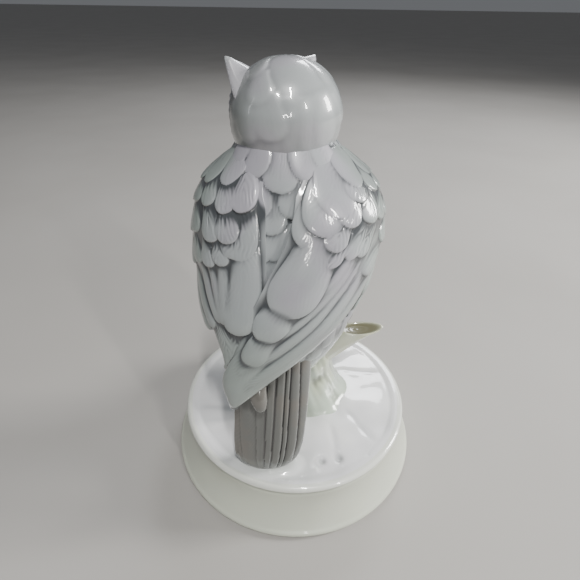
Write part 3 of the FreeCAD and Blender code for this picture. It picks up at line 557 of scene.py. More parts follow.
def head():
    nu, nv = 330, 200
    phi1 = np.linspace(-np.pi, np.pi, nu, endpoint=False)
    el1 = np.radians(np.linspace(-60, 89.3, nv))
    phi, el = np.meshgrid(phi1, el1, indexing="ij")
    d = np.stack([np.cos(el) * np.sin(phi), -np.cos(el) * np.cos(phi), np.sin(el)], -1)
    k = ((np.abs(d / HR) ** 2.15).sum(-1)) ** (-1 / 2.15)
    fwd = d @ AHEAD
    fx = (d @ ACROSS) * 16.5
    fz = d[..., 2] * 16.5
    front = step(0.25, 0.6, fwd)
    # feathers of the crown, cheeks and nape
    p = Plumage(phi * 16.0, el * 16.6, np.full_like(k, -0.4), soft=0.6, period=2 * math.pi * 16.0)

    def put(deg, z_top, z_tip, w, base, lean=0.0, lift=0.8):
        s0 = math.radians(deg) * 16.0
        t0, t1 = [math.asin(max(-0.98, min(0.98, (z - HC[2]) / HR[2]))) * 16.6 for z in (z_top, z_tip)]
        p.feather([(s0 - lean, t0), (s0, 0.5 * (t0 + t1)), (s0 + lean, t1)], w, base=base, lift=lift * 0.6,
                  crown=0.15, steep=1.4)

    for row, (zt, n, w) in enumerate(((134.0, 18, 3.4), (138.5, 18, 3.2), (143.5, 17, 3.2), (148.0, 15, 3.1),
                                      (152.3, 12, 3.0))):
        for i in range(n):
            deg = -180 + 360.0 * (i + 0.5 * (row % 2)) / n
            off = (deg + 132 + 180) % 360 - 180
            if abs(off) < 46 or -42 < deg < 60:
                continue
            put(deg, zt + 7.0, zt, w, 0.1 * row, 0.3)
    for deg, z_top, z_tip, w, base, lean in (
            (69.0, 150.6, 143.0, 2.7, 1.3, 2.2), (75.0, 145.3, 137.6, 2.6, 0.6, 1.0), (53.0, 141.8, 134.0, 3.4,
                0.2, 0.8),
            (-29.0, 145.1, 133.6, 3.7, 0.4, -0.4), (-55.0, 141.4, 134.6, 3.0, 0.2, -0.6),
            (-2.5, 149.9, 132.8, 4.4, 0.5, 0.1), (13.5, 149.0, 134.6, 3.9, 0.6, 0.2), (27.0, 150.0, 136.0, 3.8,
                0.8, 0.6),
            (42.5, 150.7, 138.2, 3.8, 1.0, 0.6), (-38.6, 151.0, 139.4, 3.2, 1.3, 0.9), (-13.8, 150.5, 140.4,
                4.2, 1.5, 1.2),
            (-27.6, 154.6, 148.6, 3.8, 1.9, 1.4), (-44.5, 157.0, 153.6, 3.4, 2.2, 1.8)):
        put(deg, z_top, z_tip, w, base * 0.55, lean, 0.65)
    dome = 1.7 * step(136, 147, HC[2] + d[..., 2] * HR[2]) * (1 - front) - 0.5
    p.h = fill_gaps(p.h, 6, 5, 0.12, True)
    h = blur(smooth_max(p.finish(barb=0.05, pitch=1.0), dome, 1.6), 2, True)
    # face: two dished discs with a raised ruff, brows, eyes and a hooked beak
    flat = np.zeros_like(h) - 0.6
    disc_e = np.minimum(*[np.sqrt(((fx - sx * DISC_X) / DISC_W) ** 2 + ((fz + DISC_Z) / DISC_H) ** 2)
                          for sx in (-1, 1)])
    ruff = 1.9 * np.exp(-((disc_e - 1.04) / 0.11) ** 2)
    rays = np.zeros_like(h)
    for sx in (-1, 1):
        ang = np.arctan2(fz + DISC_Z, fx - sx * DISC_X)
        inside = 1 - step(0.8, 1.0, np.sqrt(((fx - sx * DISC_X) / DISC_W) ** 2 + ((fz + DISC_Z) / DISC_H) ** 2))
        rays += 0.10 * np.sin(ang * 34) * inside
    ang = np.arctan2(fz + DISC_Z, fx)
    ruff_lines = 0.12 * np.sin(ang * 46) * np.exp(-((disc_e - 1.04) / 0.14) ** 2)
    dish = -2.0 * (1 - np.clip(disc_e, 0, 1) ** 2)
    face = flat + ruff + ruff_lines + dish + rays
    for sx in (-1, 1):
        rr = np.sqrt((fx - sx * EYE_X) ** 2 + (fz - EYE_Z) ** 2)
        lid = 1.5 * np.exp(-((rr - 3.9) / 0.55) ** 2)
        ball = np.where(rr < EYE_R, np.sqrt(np.maximum(0, EYE_R ** 2 - rr ** 2)) * 0.75 - 0.4, -9)
        face = np.maximum(face + lid, ball)
    brow = 2.2 * np.exp(-((fz - 5.2 - 0.42 * np.abs(fx)) / 1.2) ** 2) * step(12.5, 8.0, np.abs(fx))
    face = face + brow
    bx = np.abs(fx) / (2.0 - 0.12 * np.clip(-fz, 0, 9))
    beak = (4.6 * np.sqrt(np.maximum(0, 1 - bx ** 2)) * step(-8.4, -6.4, fz) * step(3.4, -2.0, fz)
            * (0.75 + 0.25 * step(0, -6, fz)))
    face = np.maximum(face, beak - 1.2)
    mask = step(0.44, 0.60, fwd) * step(-15.0, -12.5, fz)
    h = h * (1 - mask) + face * mask
    chin = np.exp(-((fz + 11.5) / 2.0) ** 2) * step(0.5, 0.7, fwd)
    h = h + 0.8 * chin
    r = k + h - 0.4
    pts = HC + d * r[..., None]
    eye = np.zeros_like(h)
    for sx in (-1, 1):
        rr = np.sqrt((fx - sx * EYE_X) ** 2 + (fz - EYE_Z) ** 2)
        eye += step(EYE_R, EYE_R - 0.3, rr) * mask
        eye += step(PUPIL_R, PUPIL_R - 0.2, rr) * mask
    horn = mask * step(0.05, 0.6, beak - 1.0)
    # low: painted shade on the left side of the head, away from the light.
    attrs = {"pool_and_shade": pool_and_shade_of(h, 3, True, 1.6), "tone": p.kind * (1 - mask), "eye": eye, "horn": horn,
             "low": (1 - mask) * step(-22, -50, np.degrees(phi))}
    obj = grid_mesh("owl_head_glazed", pts, attrs, wrap=True)
    return flip_if_inward(obj)


owl_head = head()


def ear(name, side, tip):
    """Cupped triangular tuft, hollow towards the face."""
    base = HC + AHEAD * 4.4 + ACROSS * (side * 10.2) + np.array([0, 0, 8.2])
    tip = np.array(tip)
    axis = tip - base
    length = np.linalg.norm(axis)
    axis = axis / length
    across = ACROSS - axis * (ACROSS @ axis)
    across /= np.linalg.norm(across)
    out = np.cross(across, axis)
    if out @ AHEAD < 0:
        out = -out
    nu, nv = 72, 70
    pts = np.zeros((nu, nv, 3))
    hh = np.zeros((nu, nv))
    for j in range(nv):
        t = j / (nv - 1)
        w = 6.8 * (1 - t) ** 0.9 * (1 + 0.24 * math.sin(math.pi * t)) + 0.25
        w = w * math.sqrt(max(0.0, 1 - max(0, (t - 0.96) / 0.042) ** 2)) + 0.02
        th = 1.9 * (1 - 0.55 * t) * min(1.0, w / 1.2)
        for i in range(nu):
            a = 2 * math.pi * i / nu
            cu, su = math.cos(a), math.sin(a)
            bend = -1.5 * (1 - t) * (1 - cu * cu) + 1.0 * t * t
            groove = 0.0
            if su > 0:
                groove = -1.9 * (1 - t) ** 0.45 * su ** 2 * (1 - cu * cu)
            line = 0.07 * math.sin(cu * 16 + t * 3) * (1 - t)
            c = base - axis * 2.5 + axis * (length + 2.5) * t
            pts[i, j] = c + across * (w * cu) + out * (th * su + bend + groove + line) - ACROSS * side * 0.8 * t * t
            hh[i, j] = groove + line
    # Painted shade in the tuft's groove.
    pool_and_shade = np.clip(0.45 - hh * 0.75, 0, 1)
    zero = np.zeros_like(hh)
    return flip_if_inward(grid_mesh(name, pts, {"pool_and_shade": pool_and_shade, "tone": zero + 0.4, "low": zero}, wrap=True))


ear_l = ear("left_ear_glazed", -1, (-21.4, -6.0, 159.6))
ear_r = ear("right_ear_glazed", 1, (5.2, 17.2, 157.8))

# ---------------------------------------------------------------- tail
TAIL = [(24.6, -11.0, -37.8, 6.0, 2.8), (26.2, -11.0, -37.6, 9.4, 3.2), (29.0, -10.8, -37.2, 11.4, 3.3),
        (35.0, -10.2, -36.6, 12.6, 3.3), (46.0, -9.4, -34.6, 13.0, 3.6), (58.0, -8.8, -30.5, 13.2, 4.4),
        (72.0, -8.2, -25.0, 13.0, 5.6), (80.0, -8.0, -21.5, 12.0, 6.0)]


def tail():
    nu, nv = 330, 130
    t1 = np.linspace(0, 2 * np.pi, nu, endpoint=False)
    z = np.concatenate([np.linspace(24.7, 31, 34), np.linspace(31.3, 79, nv - 34)])
    tt, zz = np.meshgrid(t1, z, indexing="ij")
    x, y, a, b = stations(TAIL, zz)
    cs, sn = np.cos(tt), np.sin(tt)
    px = np.sign(cs) * np.abs(cs) ** 0.8
    py = np.sign(sn) * np.abs(sn) ** 0.8
    back = step(0.1, -0.5, sn)
    u = px * (1 + 0.05 * np.sin(zz * 0.09))
    marks = np.array([-1.3, -0.74, -0.30, -0.04, 0.12, 0.38, 0.52, 0.80, 1.3])
    lean = u + 0.06 * np.sin((zz - 25) / 18.0) + 0.012 * (zz - 40) * step(0.1, 0.9, u) / 4
    idx = np.clip(np.searchsorted(marks, lean) - 1, 0, 7)
    frac = (lean - marks[idx]) / (marks[idx + 1] - marks[idx])
    crown = 1 - (2 * frac - 1) ** 2
    side = np.where(u > 0.02, frac, 1 - frac)
    h = (0.22 + 0.95 * step(-0.3, 0.3, lean)) * (0.55 * np.sqrt(np.clip(crown, 0.0, 1)) + 0.9 * side)
    barbs = np.sin(2 * np.pi * ((np.abs(frac - 0.5) * 5.5) - zz * 0.55 + idx * 0.3))
    h += 0.03 * noise(zz * 0.25, idx * 3.0, frac * 4.0, 6.0, 41) + 0.015 * barbs
    h *= back
    h = h * step(24.5, 30.0, zz)
    pts = np.stack([x + a * px, y + b * py - h + 0.05 * (a * px) ** 2 / 6.0 * back, zz], -1)
    attrs = {"pool_and_shade": pool_and_shade_of(h, 3, True, 1.5), "tone": 0.5 + 0.5 * np.sin(idx * 2.1), "low": 0 * zz + 1.0}
    return flip_if_inward(grid_mesh("tail_glazed", pts, attrs, wrap=True))


tail_obj = tail()


# ---------------------------------------------------------------- ground, trunk, branch, feet
def ground():
    nt, nr = 320, 165
    th = np.linspace(0, 2 * np.pi, nt, endpoint=False)
    top_r = np.concatenate([np.linspace(0.4, 44.5, nr - 60), 44.5 + (np.linspace(0, 1, 20) ** 1.0) * 2.4])
    t, r = np.meshgrid(th, top_r, indexing="ij")
    x, y = r * np.cos(t), r * np.sin(t)
    dt = np.hypot(x - 3.0, y - 3.0)
    at = np.arctan2(y - 3.0, x - 3.0)
    fall = np.exp(-np.maximum(dt - 15.0, 0) / 8.5)
    lobes = 0.55 + 0.45 * np.cos(7 * at + 0.6 + 0.06 * dt) + 0.25 * np.cos(11 * at - 1.0)
    h = 2.6 * fall * (0.75 + 0.35 * lobes)
    dtail = np.hypot((x + 10.8) / 11.5, (y + 38.0) / 5.4)
    h += 1.5 * np.exp(-np.maximum(dtail - 0.9, 0) ** 2 / 0.10)
    h += 0.22 * noise(x, y, 0 * x, 34.0, 3) + 0.06 * noise(x, y, 0 * x, 12.0, 5)
    for ang, amp in ((3.55, 0.5), (3.75, 0.35), (0.45, 0.45), (5.3, 0.4), (1.3, 0.4), (2.3, 0.45), (5.75, 0.35)):
        d = (t - ang - 0.15 * np.sin(r / 9.0) + np.pi) % (2 * np.pi) - np.pi
        h -= 0.55 * amp * np.exp(-(d * r / 1.6) ** 2) * step(22, 28, r) * step(45, 38, r)
    for px, py, pr, pd in ((10.5, -36.3, 1.3, 0.8), (17.3, -34.9, 1.5, 0.7), (29.2, -33.3, 0.6, 0.3)):
        h -= pd * np.exp(-((x - px) ** 2 + (y - py) ** 2) / (pr * pr))
    edge = step(46.5, 41.0, r)
    zt = 24.0 + h * edge + 0.45 * step(42.5, 45.5, r)
    pts = [np.stack([x, y, zt], -1)]
    rim = np.linspace(78, -62, 26)
    zr0 = zt[:, -1]
    ring = np.zeros((nt, len(rim) + 4, 3))
    for j, a in enumerate(rim):
        ca, sa = math.cos(math.radians(a)), math.sin(math.radians(a))
        rr = 46.9 + 1.75 * ca
        zz = 22.9 + 1.55 * sa + (zr0 - 24.45) * step(-10, 80, a)
        ring[:, j, 0], ring[:, j, 1], ring[:, j, 2] = rr * np.cos(th), rr * np.sin(th), zz
    for k, (rr, zz) in enumerate(((46.6, 21.3), (44.2, 21.25), (44.1, 19.6), (42.2, 19.6))):
        j = len(rim) + k
        ring[:, j, 0], ring[:, j, 1], ring[:, j, 2] = rr * np.cos(th), rr * np.sin(th), zz
    pts.append(ring)
    under = np.zeros((nt, 2, 3))
    for j, rr in enumerate((42.2, 0.6)):
        under[:, j, 0], under[:, j, 1], under[:, j, 2] = rr * np.cos(th), rr * np.sin(th), 20.8
    pts.append(under)
    full = np.concatenate(pts, axis=1)
    cr = np.full(full.shape[:2], 0.5)
    cr[:, :nr - 40] = pool_and_shade_of(h, 5, True, 0.8)
    tint = np.full(full.shape[:2], 0.0)
    tint[:, :nr - 40] = np.clip(0.8 * fall * (0.6 + 0.4 * lobes) + 0.7 * np.exp(-dtail ** 2 / 3.0), 0, 1)
    rimtint = np.zeros(full.shape[:2])
    rimtint[:, nr - 46:] = 1.0
    return flip_if_inward(grid_mesh("ground_glazed", full, {"pool_and_shade": cr, "tone": tint, "low": rimtint}, wrap=True))


ground_obj = ground()
TRUNK = [(23.6, 3.2, 3.0, 22.5), (25.6, 3.2, 3.0, 19.4), (28.5, 2.8, 3.0, 17.4), (34.0, 2.1, 3.0, 15.9),
         (42.0, 1.6, 2.6, 14.2), (50.0, 1.3, 2.0, 13.4), (57.0, 1.0, 2.0, 13.4), (61.0, 1.0, 2.0, 12.6)]


def trunk():
    nu, nv = 240, 130
    t1 = np.linspace(0, 2 * np.pi, nu, endpoint=False)
    z = 23.7 + 37.0 * np.linspace(0, 1, nv) ** 1.25
    t, zz = np.meshgrid(t1, z, indexing="ij")
    x, y, r = stations(TRUNK, zz)
    flare = np.exp(-np.maximum(zz - 24.0, 0) / 7.0)
    twist = t + 0.012 * (zz - 24)
    h = 0.7 * flare * np.cos(7 * twist + 0.6) + 0.35 * (0.8 + 0.3 * flare) * np.cos(3 * twist + 2.0)
    bark = (0.22 * np.sin(13 * twist + 1.2 * np.sin(zz * 0.13))
            + 0.08 * np.sin(29 * twist + 0.8 * np.sin(zz * 0.2 + t)))
    h += bark * (0.5 + 0.5 * step(26, 36, zz)) + 0.4 * noise(10 * np.cos(t), 10 * np.sin(t), zz, 16.0, 9)
    knot = np.exp(-(((t - 5.3) * 13) ** 2 + (zz - 40) ** 2) / 7.0)
    h -= 1.3 * knot
    rr = r + h
    pts = np.stack([x + rr * np.cos(t), y + rr * np.sin(t), zz], -1)
    attrs = {"pool_and_shade": pool_and_shade_of(h, 4, True, 1.0), "tone": step(60, 25, zz), "low": 0 * zz}
    return flip_if_inward(grid_mesh("trunk_glazed", pts, attrs, wrap=True))


trunk_obj = trunk()


def branch():
    nu, nv = 90, 120
    a0, a1 = np.array([6.0, 0.8, 47.5]), np.array([31.6, 0.0, 65.0])
    along = (a1 - a0) / np.linalg.norm(a1 - a0)
    side = np.array([0.0, -1.0, 0.0])
    up = np.cross(side, along)
    if up[2] < 0:
        up = -up
    total = np.linalg.norm(a1 - a0)
    pts = np.zeros((nu, nv, 3))
    hh = np.zeros((nu, nv))
    tone = np.zeros((nu, nv))
    body_n = 96
    for j in range(nv):
        for i in range(nu):
            a = 2 * math.pi * i / nu
            u, w = math.cos(a), math.sin(a)
            reach = total * (1.0 - 0.46 * (0.5 + 0.5 * w)) + 1.8 * (0.5 - 0.5 * w) ** 3
            if j < body_n:
                t = j / (body_n - 1)
                r = 7.8 - 3.0 * (1 - (1 - t) ** 2) + 0.25 * math.sin(5 * a + 4 * t) + 0.18 * math.sin(9 * a - 3 * t)
                r = r * (1 - 0.10 * t * t)
                d = reach * t
                hh[i, j] = r * 0.2
            else:
                k = (j - body_n + 1) / (nv - body_n)
                rr = 1 - k
                r = (7.8 - 3.0) * 0.9 * rr + 0.02
                lip = 0.5 * math.sin(math.pi * min(1.0, k * 4)) if k < 0.25 else 0.0
                centre = total * 0.77 + 0.9
                d = centre + (reach - centre) * rr + lip - 1.7 * (1 - rr * rr)
                tone[i, j] = min(1.0, k * 3)
                hh[i, j] = 0.2 * math.sin(k * 22)
                d += 0.04 * math.sin(k * 22)
            pts[i, j] = a0 + along * d + side * (r * u) + up * (r * 0.98 * w)
    # The cut face is darkened here as painted shade, on top of its dark olive tone.
    pool_and_shade = np.clip(0.5 + 0 * hh + tone * 0.4, 0, 1)
    return flip_if_inward(grid_mesh("branch_glazed", pts, {"pool_and_shade": pool_and_shade, "tone": tone, "low": 0 * hh}, wrap=True))


branch_obj = branch()


def foot(name, cx):
    """Feathered shank with three forward toes and curled claws."""
    parts = []
    root = np.array([cx, 11.0, 60.5])
    parts.append(tube(name + "_shank", [root + np.array([0, -2.0 - 1.2 * (1 - t), 7.0 * (1 - t)]) for t in
                                        np.linspace(0, 1, 12)], [4.4 - 1.0 * t for t in np.linspace(0, 1, 12)], 40))
    for k in (-1, 0, 1):
        p0 = root + np.array([1.4 * k, -0.5, -0.6])
        p1 = root + np.array([2.9 * k, 4.6 - 0.5 * abs(k), -1.6])
        p2 = root + np.array([3.5 * k, 6.4 - 0.7 * abs(k), -4.6])
        ts = np.linspace(0, 1, 26)
        line = [(1 - t) ** 2 * p0 + 2 * t * (1 - t) * p1 + t * t * p2 for t in ts]
        radii = [(1.75 + 0.18 * math.sin(t * 22)) * math.sqrt(max(0.02, 1 - max(0, (t - 0.86) / 0.145) ** 2))
                 for t in ts]
        parts.append(tube(name + "_toe", line, radii, 28))
        c2 = p2 + np.array([0.1 * k, 0.9, -3.2])
        mid = p2 + np.array([0.05 * k, 1.1, -1.2])
        line = [(1 - t) ** 2 * p2 + 2 * t * (1 - t) * mid + t * t * c2 for t in ts]
        parts.append(tube(name + "_claw", line, [1.15 * (1 - 0.93 * t) for t in ts], 20))
    bpy.ops.object.select_all(action="DESELECT")
    for o in parts:
        o.select_set(True)
    bpy.context.view_layer.objects.active = parts[0]
    bpy.ops.object.join()
    obj = parts[0]
    obj.name = name
    rm = obj.modifiers.new("blend", "REMESH")
    rm.mode, rm.voxel_size, rm.use_smooth_shade = "VOXEL", 0.00034, True
    sm = obj.modifiers.new("melt", "SMOOTH")
    sm.factor, sm.iterations = 0.5, 6
    dg = bpy.context.evaluated_depsgraph_get()
    me = bpy.data.meshes.new_from_object(obj.evaluated_get(dg))
    obj.modifiers.clear()
    obj.data = me
    for poly in me.polygons:
        poly.use_smooth = True
    return obj


foot_l = foot("left_foot_glazed", -7.9)
foot_r = foot("right_foot_glazed", 4.9)


def drum():
    nt = 360
    th = np.linspace(0, 2 * np.pi, nt, endpoint=False)
    prof = [(46.9, 21.5), (47.3, 20.9), (47.75, 20.3), (48.0, 19.6)]
    for i in range(1, 26):
        t = i / 25
        prof.append((48.0 + 4.75 * t ** 1.9, 19.6 - 15.8 * t))
    prof += [(53.1, 3.35), (53.55, 3.0), (53.85, 2.5), (54.0, 1.9), (53.95, 1.45), (53.6, 1.12), (53.0, 1.0),
             (50.5, 1.0), (48.2, 1.0), (47.6, 1.25), (47.25, 1.8), (47.2, 5.5), (44.45, 5.6), (44.4, 5.9),
             (44.4, 20.9), (44.7, 21.2)]
    prof = np.array(prof)
    t, k = np.meshgrid(th, np.arange(len(prof)), indexing="ij")
    r = prof[k, 0] + 0.10 * noise(54 * np.cos(t), 54 * np.sin(t), prof[k, 1] * 1.5, 40.0, 13) * (prof[k, 0] < 53.4)
    r = np.minimum(r, 54.0)
    pts = np.stack([r * np.cos(t), r * np.sin(t), prof[k, 1] + 0 * t], -1)
    pts = np.concatenate([pts, pts[:, :1]], axis=1)
    # Painted shade: a soft dark band along the seam under the ground disc's rim.
    cr = np.clip(0.5 + 0.5 * np.exp(-((pts[..., 2] - 21.2) / 0.9) ** 2), 0, 1)
    return flip_if_inward(grid_mesh("drum_glazed", pts, {"pool_and_shade": cr, "tone": 0 * cr, "low": 0 * cr}, wrap=True,
                                    cap_a=False, cap_b=False))


drum_obj = drum()


# ---------------------------------------------------------------- materials
def nodes_of(name):
    mat = bpy.data.materials.new(name)
    mat.use_nodes = True
    nt = mat.node_tree
    return mat, nt, nt.nodes["Principled BSDF"]


def link(nt, a, b):
    nt.links.new(a, b)


def rgb(c):
    return (c[0], c[1], c[2], 1.0)


def mix(nt, fac, a, b):
    n = nt.nodes.new("ShaderNodeMix")
    n.data_type = "RGBA"
    for sock, v in ((n.inputs[0], fac), (n.inputs[6], a), (n.inputs[7], b)):
        if hasattr(v, "is_output"):
            link(nt, v, sock)
        elif isinstance(v, (int, float)):
            sock.default_value = v
        else:
            sock.default_value = rgb(v)
    return n.outputs[2]


def attr(nt, name):
    n = nt.nodes.new("ShaderNodeAttribute")
    n.attribute_name = name
    return n.outputs["Fac"]


def tex_noise(nt, scale, detail=3.0, rough=0.5):
    co = nt.nodes.new("ShaderNodeTexCoord")
    n = nt.nodes.new("ShaderNodeTexNoise")
    n.inputs["Scale"].default_value = scale
    n.inputs["Detail"].default_value = detail
    n.inputs["Roughness"].default_value = rough
    link(nt, co.outputs["Object"], n.inputs["Vector"])
    return n.outputs["Fac"]


def ramp(nt, fac, lo, hi, a=0.0, b=1.0):
    n = nt.nodes.new("ShaderNodeMapRange")
    n.interpolation_type = "SMOOTHSTEP"
    link(nt, fac, n.inputs[0])
    for i, v in enumerate((lo, hi, a, b)):
        n.inputs[i + 1].default_value = v
    return n.outputs[0]


def glaze(name, light, dark, tint, tint_scale, coat=1.0, rough=0.32, low=None, tone_col=None, bump=0.02):
    mat, nt, p = nodes_of(name)
    # Painted shade: creases and hollows are mixed towards the dark colour, partly standing for glaze pooled in them.
    cr = ramp(nt, attr(nt, "pool_and_shade"), 0.40, 0.92)
    base = mix(nt, cr, light, dark)
    cloud = ramp(nt, tex_noise(nt, tint_scale, 2.0), 0.40, 0.66)
    base = mix(nt, ramp(nt, cloud, 0, 1, 0, 0.75), base, mix(nt, cr, tint, dark))
    if low:
        base = mix(nt, ramp(nt, attr(nt, "low"), 0.0, 1.0, 0.0, 0.8), base, mix(nt, cr, low, dark))
    if tone_col:
        base = mix(nt, ramp(nt, attr(nt, "tone"), 0.1, 0.9, 0.0, 0.85), base, tone_col)
    speck = ramp(nt, tex_noise(nt, 900.0, 4.0, 0.7), 0.66, 0.8, 0.0, 0.25)
    base = mix(nt, speck, base, tuple(0.75 * v for v in dark))
    link(nt, base, p.inputs["Base Color"])
    p.inputs["Roughness"].default_value = rough
    p.inputs["Coat Weight"].default_value = coat
    p.inputs["Coat Roughness"].default_value = 0.035
    p.inputs["Coat IOR"].default_value = 1.5
    b = nt.nodes.new("ShaderNodeBump")
    b.inputs["Strength"].default_value = 0.12
    b.inputs["Distance"].default_value = bump * MM * 10
    link(nt, tex_noise(nt, 160.0, 2.0), b.inputs["Height"])
    link(nt, b.outputs["Normal"], p.inputs["Normal"])
    link(nt, b.outputs["Normal"], p.inputs["Coat Normal"])
    return mat, nt, p


# The low colour is painted shade on the left wing's flank, and a darker green-grey towards the bottom and on the
# right wing's flank.
plum, _, _ = glaze("owl_glaze", (0.37, 0.395, 0.405), (0.06, 0.066, 0.072), (0.37, 0.35, 0.40), 42.0,
                   low=(0.255, 0.30, 0.275))
# The head's low colour is painted shade for its left side.
head_mat, hn, hp = glaze("owl_head_glaze", (0.375, 0.40, 0.405), (0.075, 0.08, 0.088), (0.375, 0.365, 0.40), 50.0,
                       low=(0.20, 0.215, 0.21))
src = hp.inputs["Base Color"].links[0].from_socket
iris = ramp(hn, attr(hn, "eye"), 0.3, 0.7)
pupil = ramp(hn, attr(hn, "eye"), 1.3, 1.7)
col = mix(hn, iris, src, (0.62, 0.36, 0.05))
col = mix(hn, pupil, col, (0.01, 0.01, 0.012))
col = mix(hn, ramp(hn, attr(hn, "horn"), 0.2, 0.8), col, (0.30, 0.25, 0.17))
link(hn, col, hp.inputs["Base Color"])
# Painted shade: the tail's glaze is far darker than the owl's grey, standing in for the shade the tail sits in; the
# left wing tip uses it too.
tail_mat, _, _ = glaze("tail_glaze", (0.13, 0.135, 0.128), (0.028, 0.028, 0.029), (0.15, 0.138, 0.122), 60.0,
    rough=0.16)
white_mat, _, _ = glaze("ground_glaze", (0.80, 0.80, 0.80), (0.50, 0.51, 0.52), (0.76, 0.76, 0.78), 30.0, rough=0.25,
                        low=(0.74, 0.76, 0.68), tone_col=(0.50, 0.54, 0.50))
trunk_mat, _, _ = glaze("trunk_glaze", (0.46, 0.53, 0.44), (0.20, 0.22, 0.17), (0.45, 0.48, 0.34), 55.0, rough=0.3)
branch_mat, _, _ = glaze("branch_glaze", (0.64, 0.66, 0.54), (0.34, 0.34, 0.22), (0.58, 0.58, 0.38), 70.0, rough=0.3,
                         tone_col=(0.10, 0.09, 0.045))
drum_mat, _, _ = glaze("drum_glaze", (0.62, 0.65, 0.55), (0.40, 0.42, 0.35), (0.58, 0.60, 0.51), 28.0, coat=0.35,
                       rough=0.42, bump=0.03)
foot_mat, _, _ = glaze("foot_glaze", (0.46, 0.43, 0.36), (0.16, 0.14, 0.11), (0.40, 0.38, 0.33), 120.0)


def solid(name, a, b, metallic=0.0, rough=0.4, scale=400.0, bump=0.3, coat=0.0):
    mat, nt, p = nodes_of(name)
    f = tex_noise(nt, scale, 4.0, 0.6)
    link(nt, mix(nt, ramp(nt, f, 0.3, 0.7), a, b), p.inputs["Base Color"])
    p.inputs["Metallic"].default_value = metallic
    link(nt, ramp(nt, tex_noise(nt, scale * 0.4, 3.0), 0.3, 0.7, rough - 0.07, rough + 0.07), p.inputs["Roughness"])
    p.inputs["Coat Weight"].default_value = coat
    bp = nt.nodes.new("ShaderNodeBump")
    bp.inputs["Strength"].default_value = bump
    bp.inputs["Distance"].default_value = 0.00005
    link(nt, tex_noise(nt, scale * 3, 3.0), bp.inputs["Height"])
    link(nt, bp.outputs["Normal"], p.inputs["Normal"])
    return mat


steel = solid("plated_steel", (0.62, 0.62, 0.63), (0.52, 0.52, 0.54), 1.0, 0.28)
dark_steel = solid("spring_steel", (0.30, 0.32, 0.36), (0.22, 0.23, 0.26), 1.0, 0.3)
brass = solid("brass", (0.78, 0.60, 0.28), (0.68, 0.50, 0.22), 1.0, 0.26)
cast = solid("cast_bedplate", (0.50, 0.50, 0.49), (0.42, 0.42, 0.42), 0.9, 0.42, 250.0)
black = solid("black_moulding", (0.030, 0.030, 0.032), (0.022, 0.022, 0.024), 0.0, 0.45, 300.0, bump=0.5)
white = solid("white_plastic", (0.80, 0.78, 0.72), (0.76, 0.73, 0.66), 0.0, 0.35)
felt = solid("felt", (0.035, 0.11, 0.07), (0.02, 0.075, 0.05), 0.0, 0.95, 1500.0, bump=1.0)

pairs = [(right_wing, plum, ("right_wing",)), (left_wing, plum, ("left_wing",)), (body, plum, ("owl_body",)),
         (owl_head, head_mat, ("owl_head",)), (left_tip, tail_mat, ("left_wing",)), (ear_l, head_mat,
             ("left_ear_tuft",)),
         (ear_r, head_mat, ("right_ear_tuft",)), (tail_obj, tail_mat, ("tail",)),
         (ground_obj, white_mat, ("ground_disc",)), (trunk_obj, trunk_mat, ("tree_trunk",)),
         (branch_obj, branch_mat, ("branch_stub",)), (foot_l, foot_mat, ("left_foot",)),
         (foot_r, foot_mat, ("right_foot",)), (drum_obj, drum_mat, ("base_drum",))]
slots = {s["node"]: s["material_slot"] for s in frame["record"]["subparts"]}
for obj, mat, nodes in pairs:
    obj.data.materials.clear()
    obj.data.materials.append(mat)
    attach(obj, "figure")
    if obj is not left_tip:          # the wing's main shell already stands for the wing
        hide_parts(*nodes)

kinds = {"moulded_plastic": black, "white_plastic": white, "cast_bedplate": cast, "screw_steel": steel,
         "spring_steel": dark_steel, "comb_steel": steel, "brass": brass, "felt_pad": felt,
         "owl_glaze": plum, "white_glaze": white_mat, "trunk_glaze": trunk_mat, "satin_glaze": drum_mat}
replaced = {n for _, _, nodes in pairs for n in nodes}
for name, obj in frame["nodes"].items():
    if name not in replaced:
        obj.data.materials.clear()
        obj.data.materials.append(kinds[slots[name]])

# ---------------------------------------------------------------- floor, light, camera
me = bpy.data.meshes.new("floor")
FLOOR_HALF = 30.0
me.from_pydata([(x * FLOOR_HALF, y * FLOOR_HALF, 0) for x, y in ((-1, -1), (1, -1), (1, 1), (-1, 1))], [],
               [(0, 1, 2, 3)])
floor = bpy.data.objects.new("floor", me)
bpy.context.collection.objects.link(floor)
fmat, fnt2, fpr = nodes_of("pale_floor")
link(fnt2, mix(fnt2, ramp(fnt2, tex_noise(fnt2, 6.0), 0.3, 0.7), (0.42, 0.405, 0.385), (0.39, 0.375, 0.355)),
     fpr.inputs["Base Color"])
fpr.inputs["Roughness"].default_value = 0.7
me.materials.append(fmat)

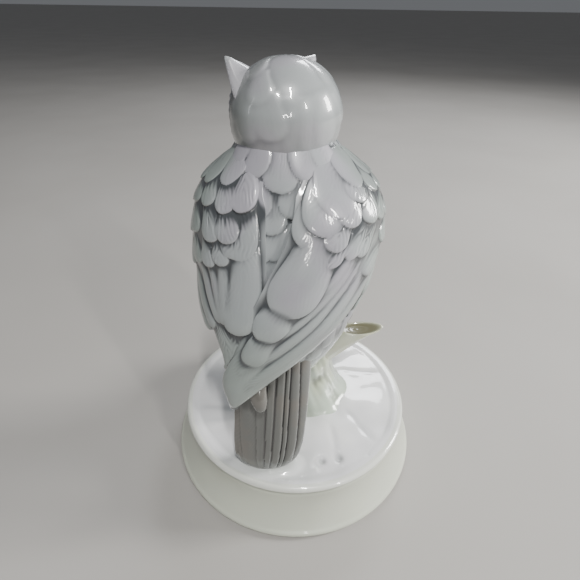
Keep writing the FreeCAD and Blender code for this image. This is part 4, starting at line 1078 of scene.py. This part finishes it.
world = bpy.data.worlds.new("studio")
bpy.context.scene.world = world
world.use_nodes = True
bg = world.node_tree.nodes["Background"]
bg.inputs["Color"].default_value = (0.80, 0.83, 0.88, 1)
bg.inputs["Strength"].default_value = 0.17


def area(name, loc, target, size, power, color=(1, 1, 1), size_y=None):
    data = bpy.data.lights.new(name, "AREA")
    data.shape = "RECTANGLE"
    data.size, data.size_y = size, size_y or size
    data.energy, data.color = power, color
    obj = bpy.data.objects.new(name, data)
    bpy.context.collection.objects.link(obj)
    obj.location = loc
    obj.rotation_euler = (Vector(target) - Vector(loc)).to_track_quat("-Z", "Y").to_euler()
    return obj


area("window_right", (0.90, 0.10, 0.42), (0, 0, 0.09), 0.22, 13.0, (1.0, 0.99, 0.96), 0.36)
area("window_back", (0.30, 0.80, 0.72), (0, 0, 0.09), 0.36, 4.0, (0.95, 0.97, 1.0), 0.22)
area("lamp_top", (0.10, -0.42, 0.90), (0, 0, 0.10), 0.03, 5.5, (1.0, 0.99, 0.97), 0.20)
area("lamp_side", (0.46, -0.55, 0.55), (0, 0, 0.09), 0.03, 2.4, (1.0, 0.98, 0.95), 0.18)
area("lamp_low", (0.15, -0.90, 0.36), (0, 0, 0.06), 0.03, 1.0, (1.0, 0.98, 0.95), 0.16)
area("window_left", (-0.85, -0.35, 0.45), (0, 0, 0.09), 0.05, 0.25, (0.94, 0.97, 1.0), 0.5)

cam = bpy.data.objects.new("camera", bpy.data.cameras.new("camera"))
bpy.context.collection.objects.link(cam)
CAMERA_AT = Vector((-0.00293, -0.13381, 0.17092))
pitch, roll = math.radians(34.254), math.radians(-0.877)
forward = Vector((0, math.cos(pitch), -math.sin(pitch)))
up0, right0 = Vector((0, math.sin(pitch), math.cos(pitch))), Vector((1, 0, 0))
up = up0 * math.cos(roll) + right0 * math.sin(roll)
right = right0 * math.cos(roll) - up0 * math.sin(roll)
m = Matrix((right, up, -forward)).transposed().to_4x4()
m.translation = CAMERA_AT
cam.matrix_world = m
cam.data.lens = 26.0
cam.data.sensor_width = 36.0
cam.data.clip_start = 0.005
bpy.context.scene.camera = cam
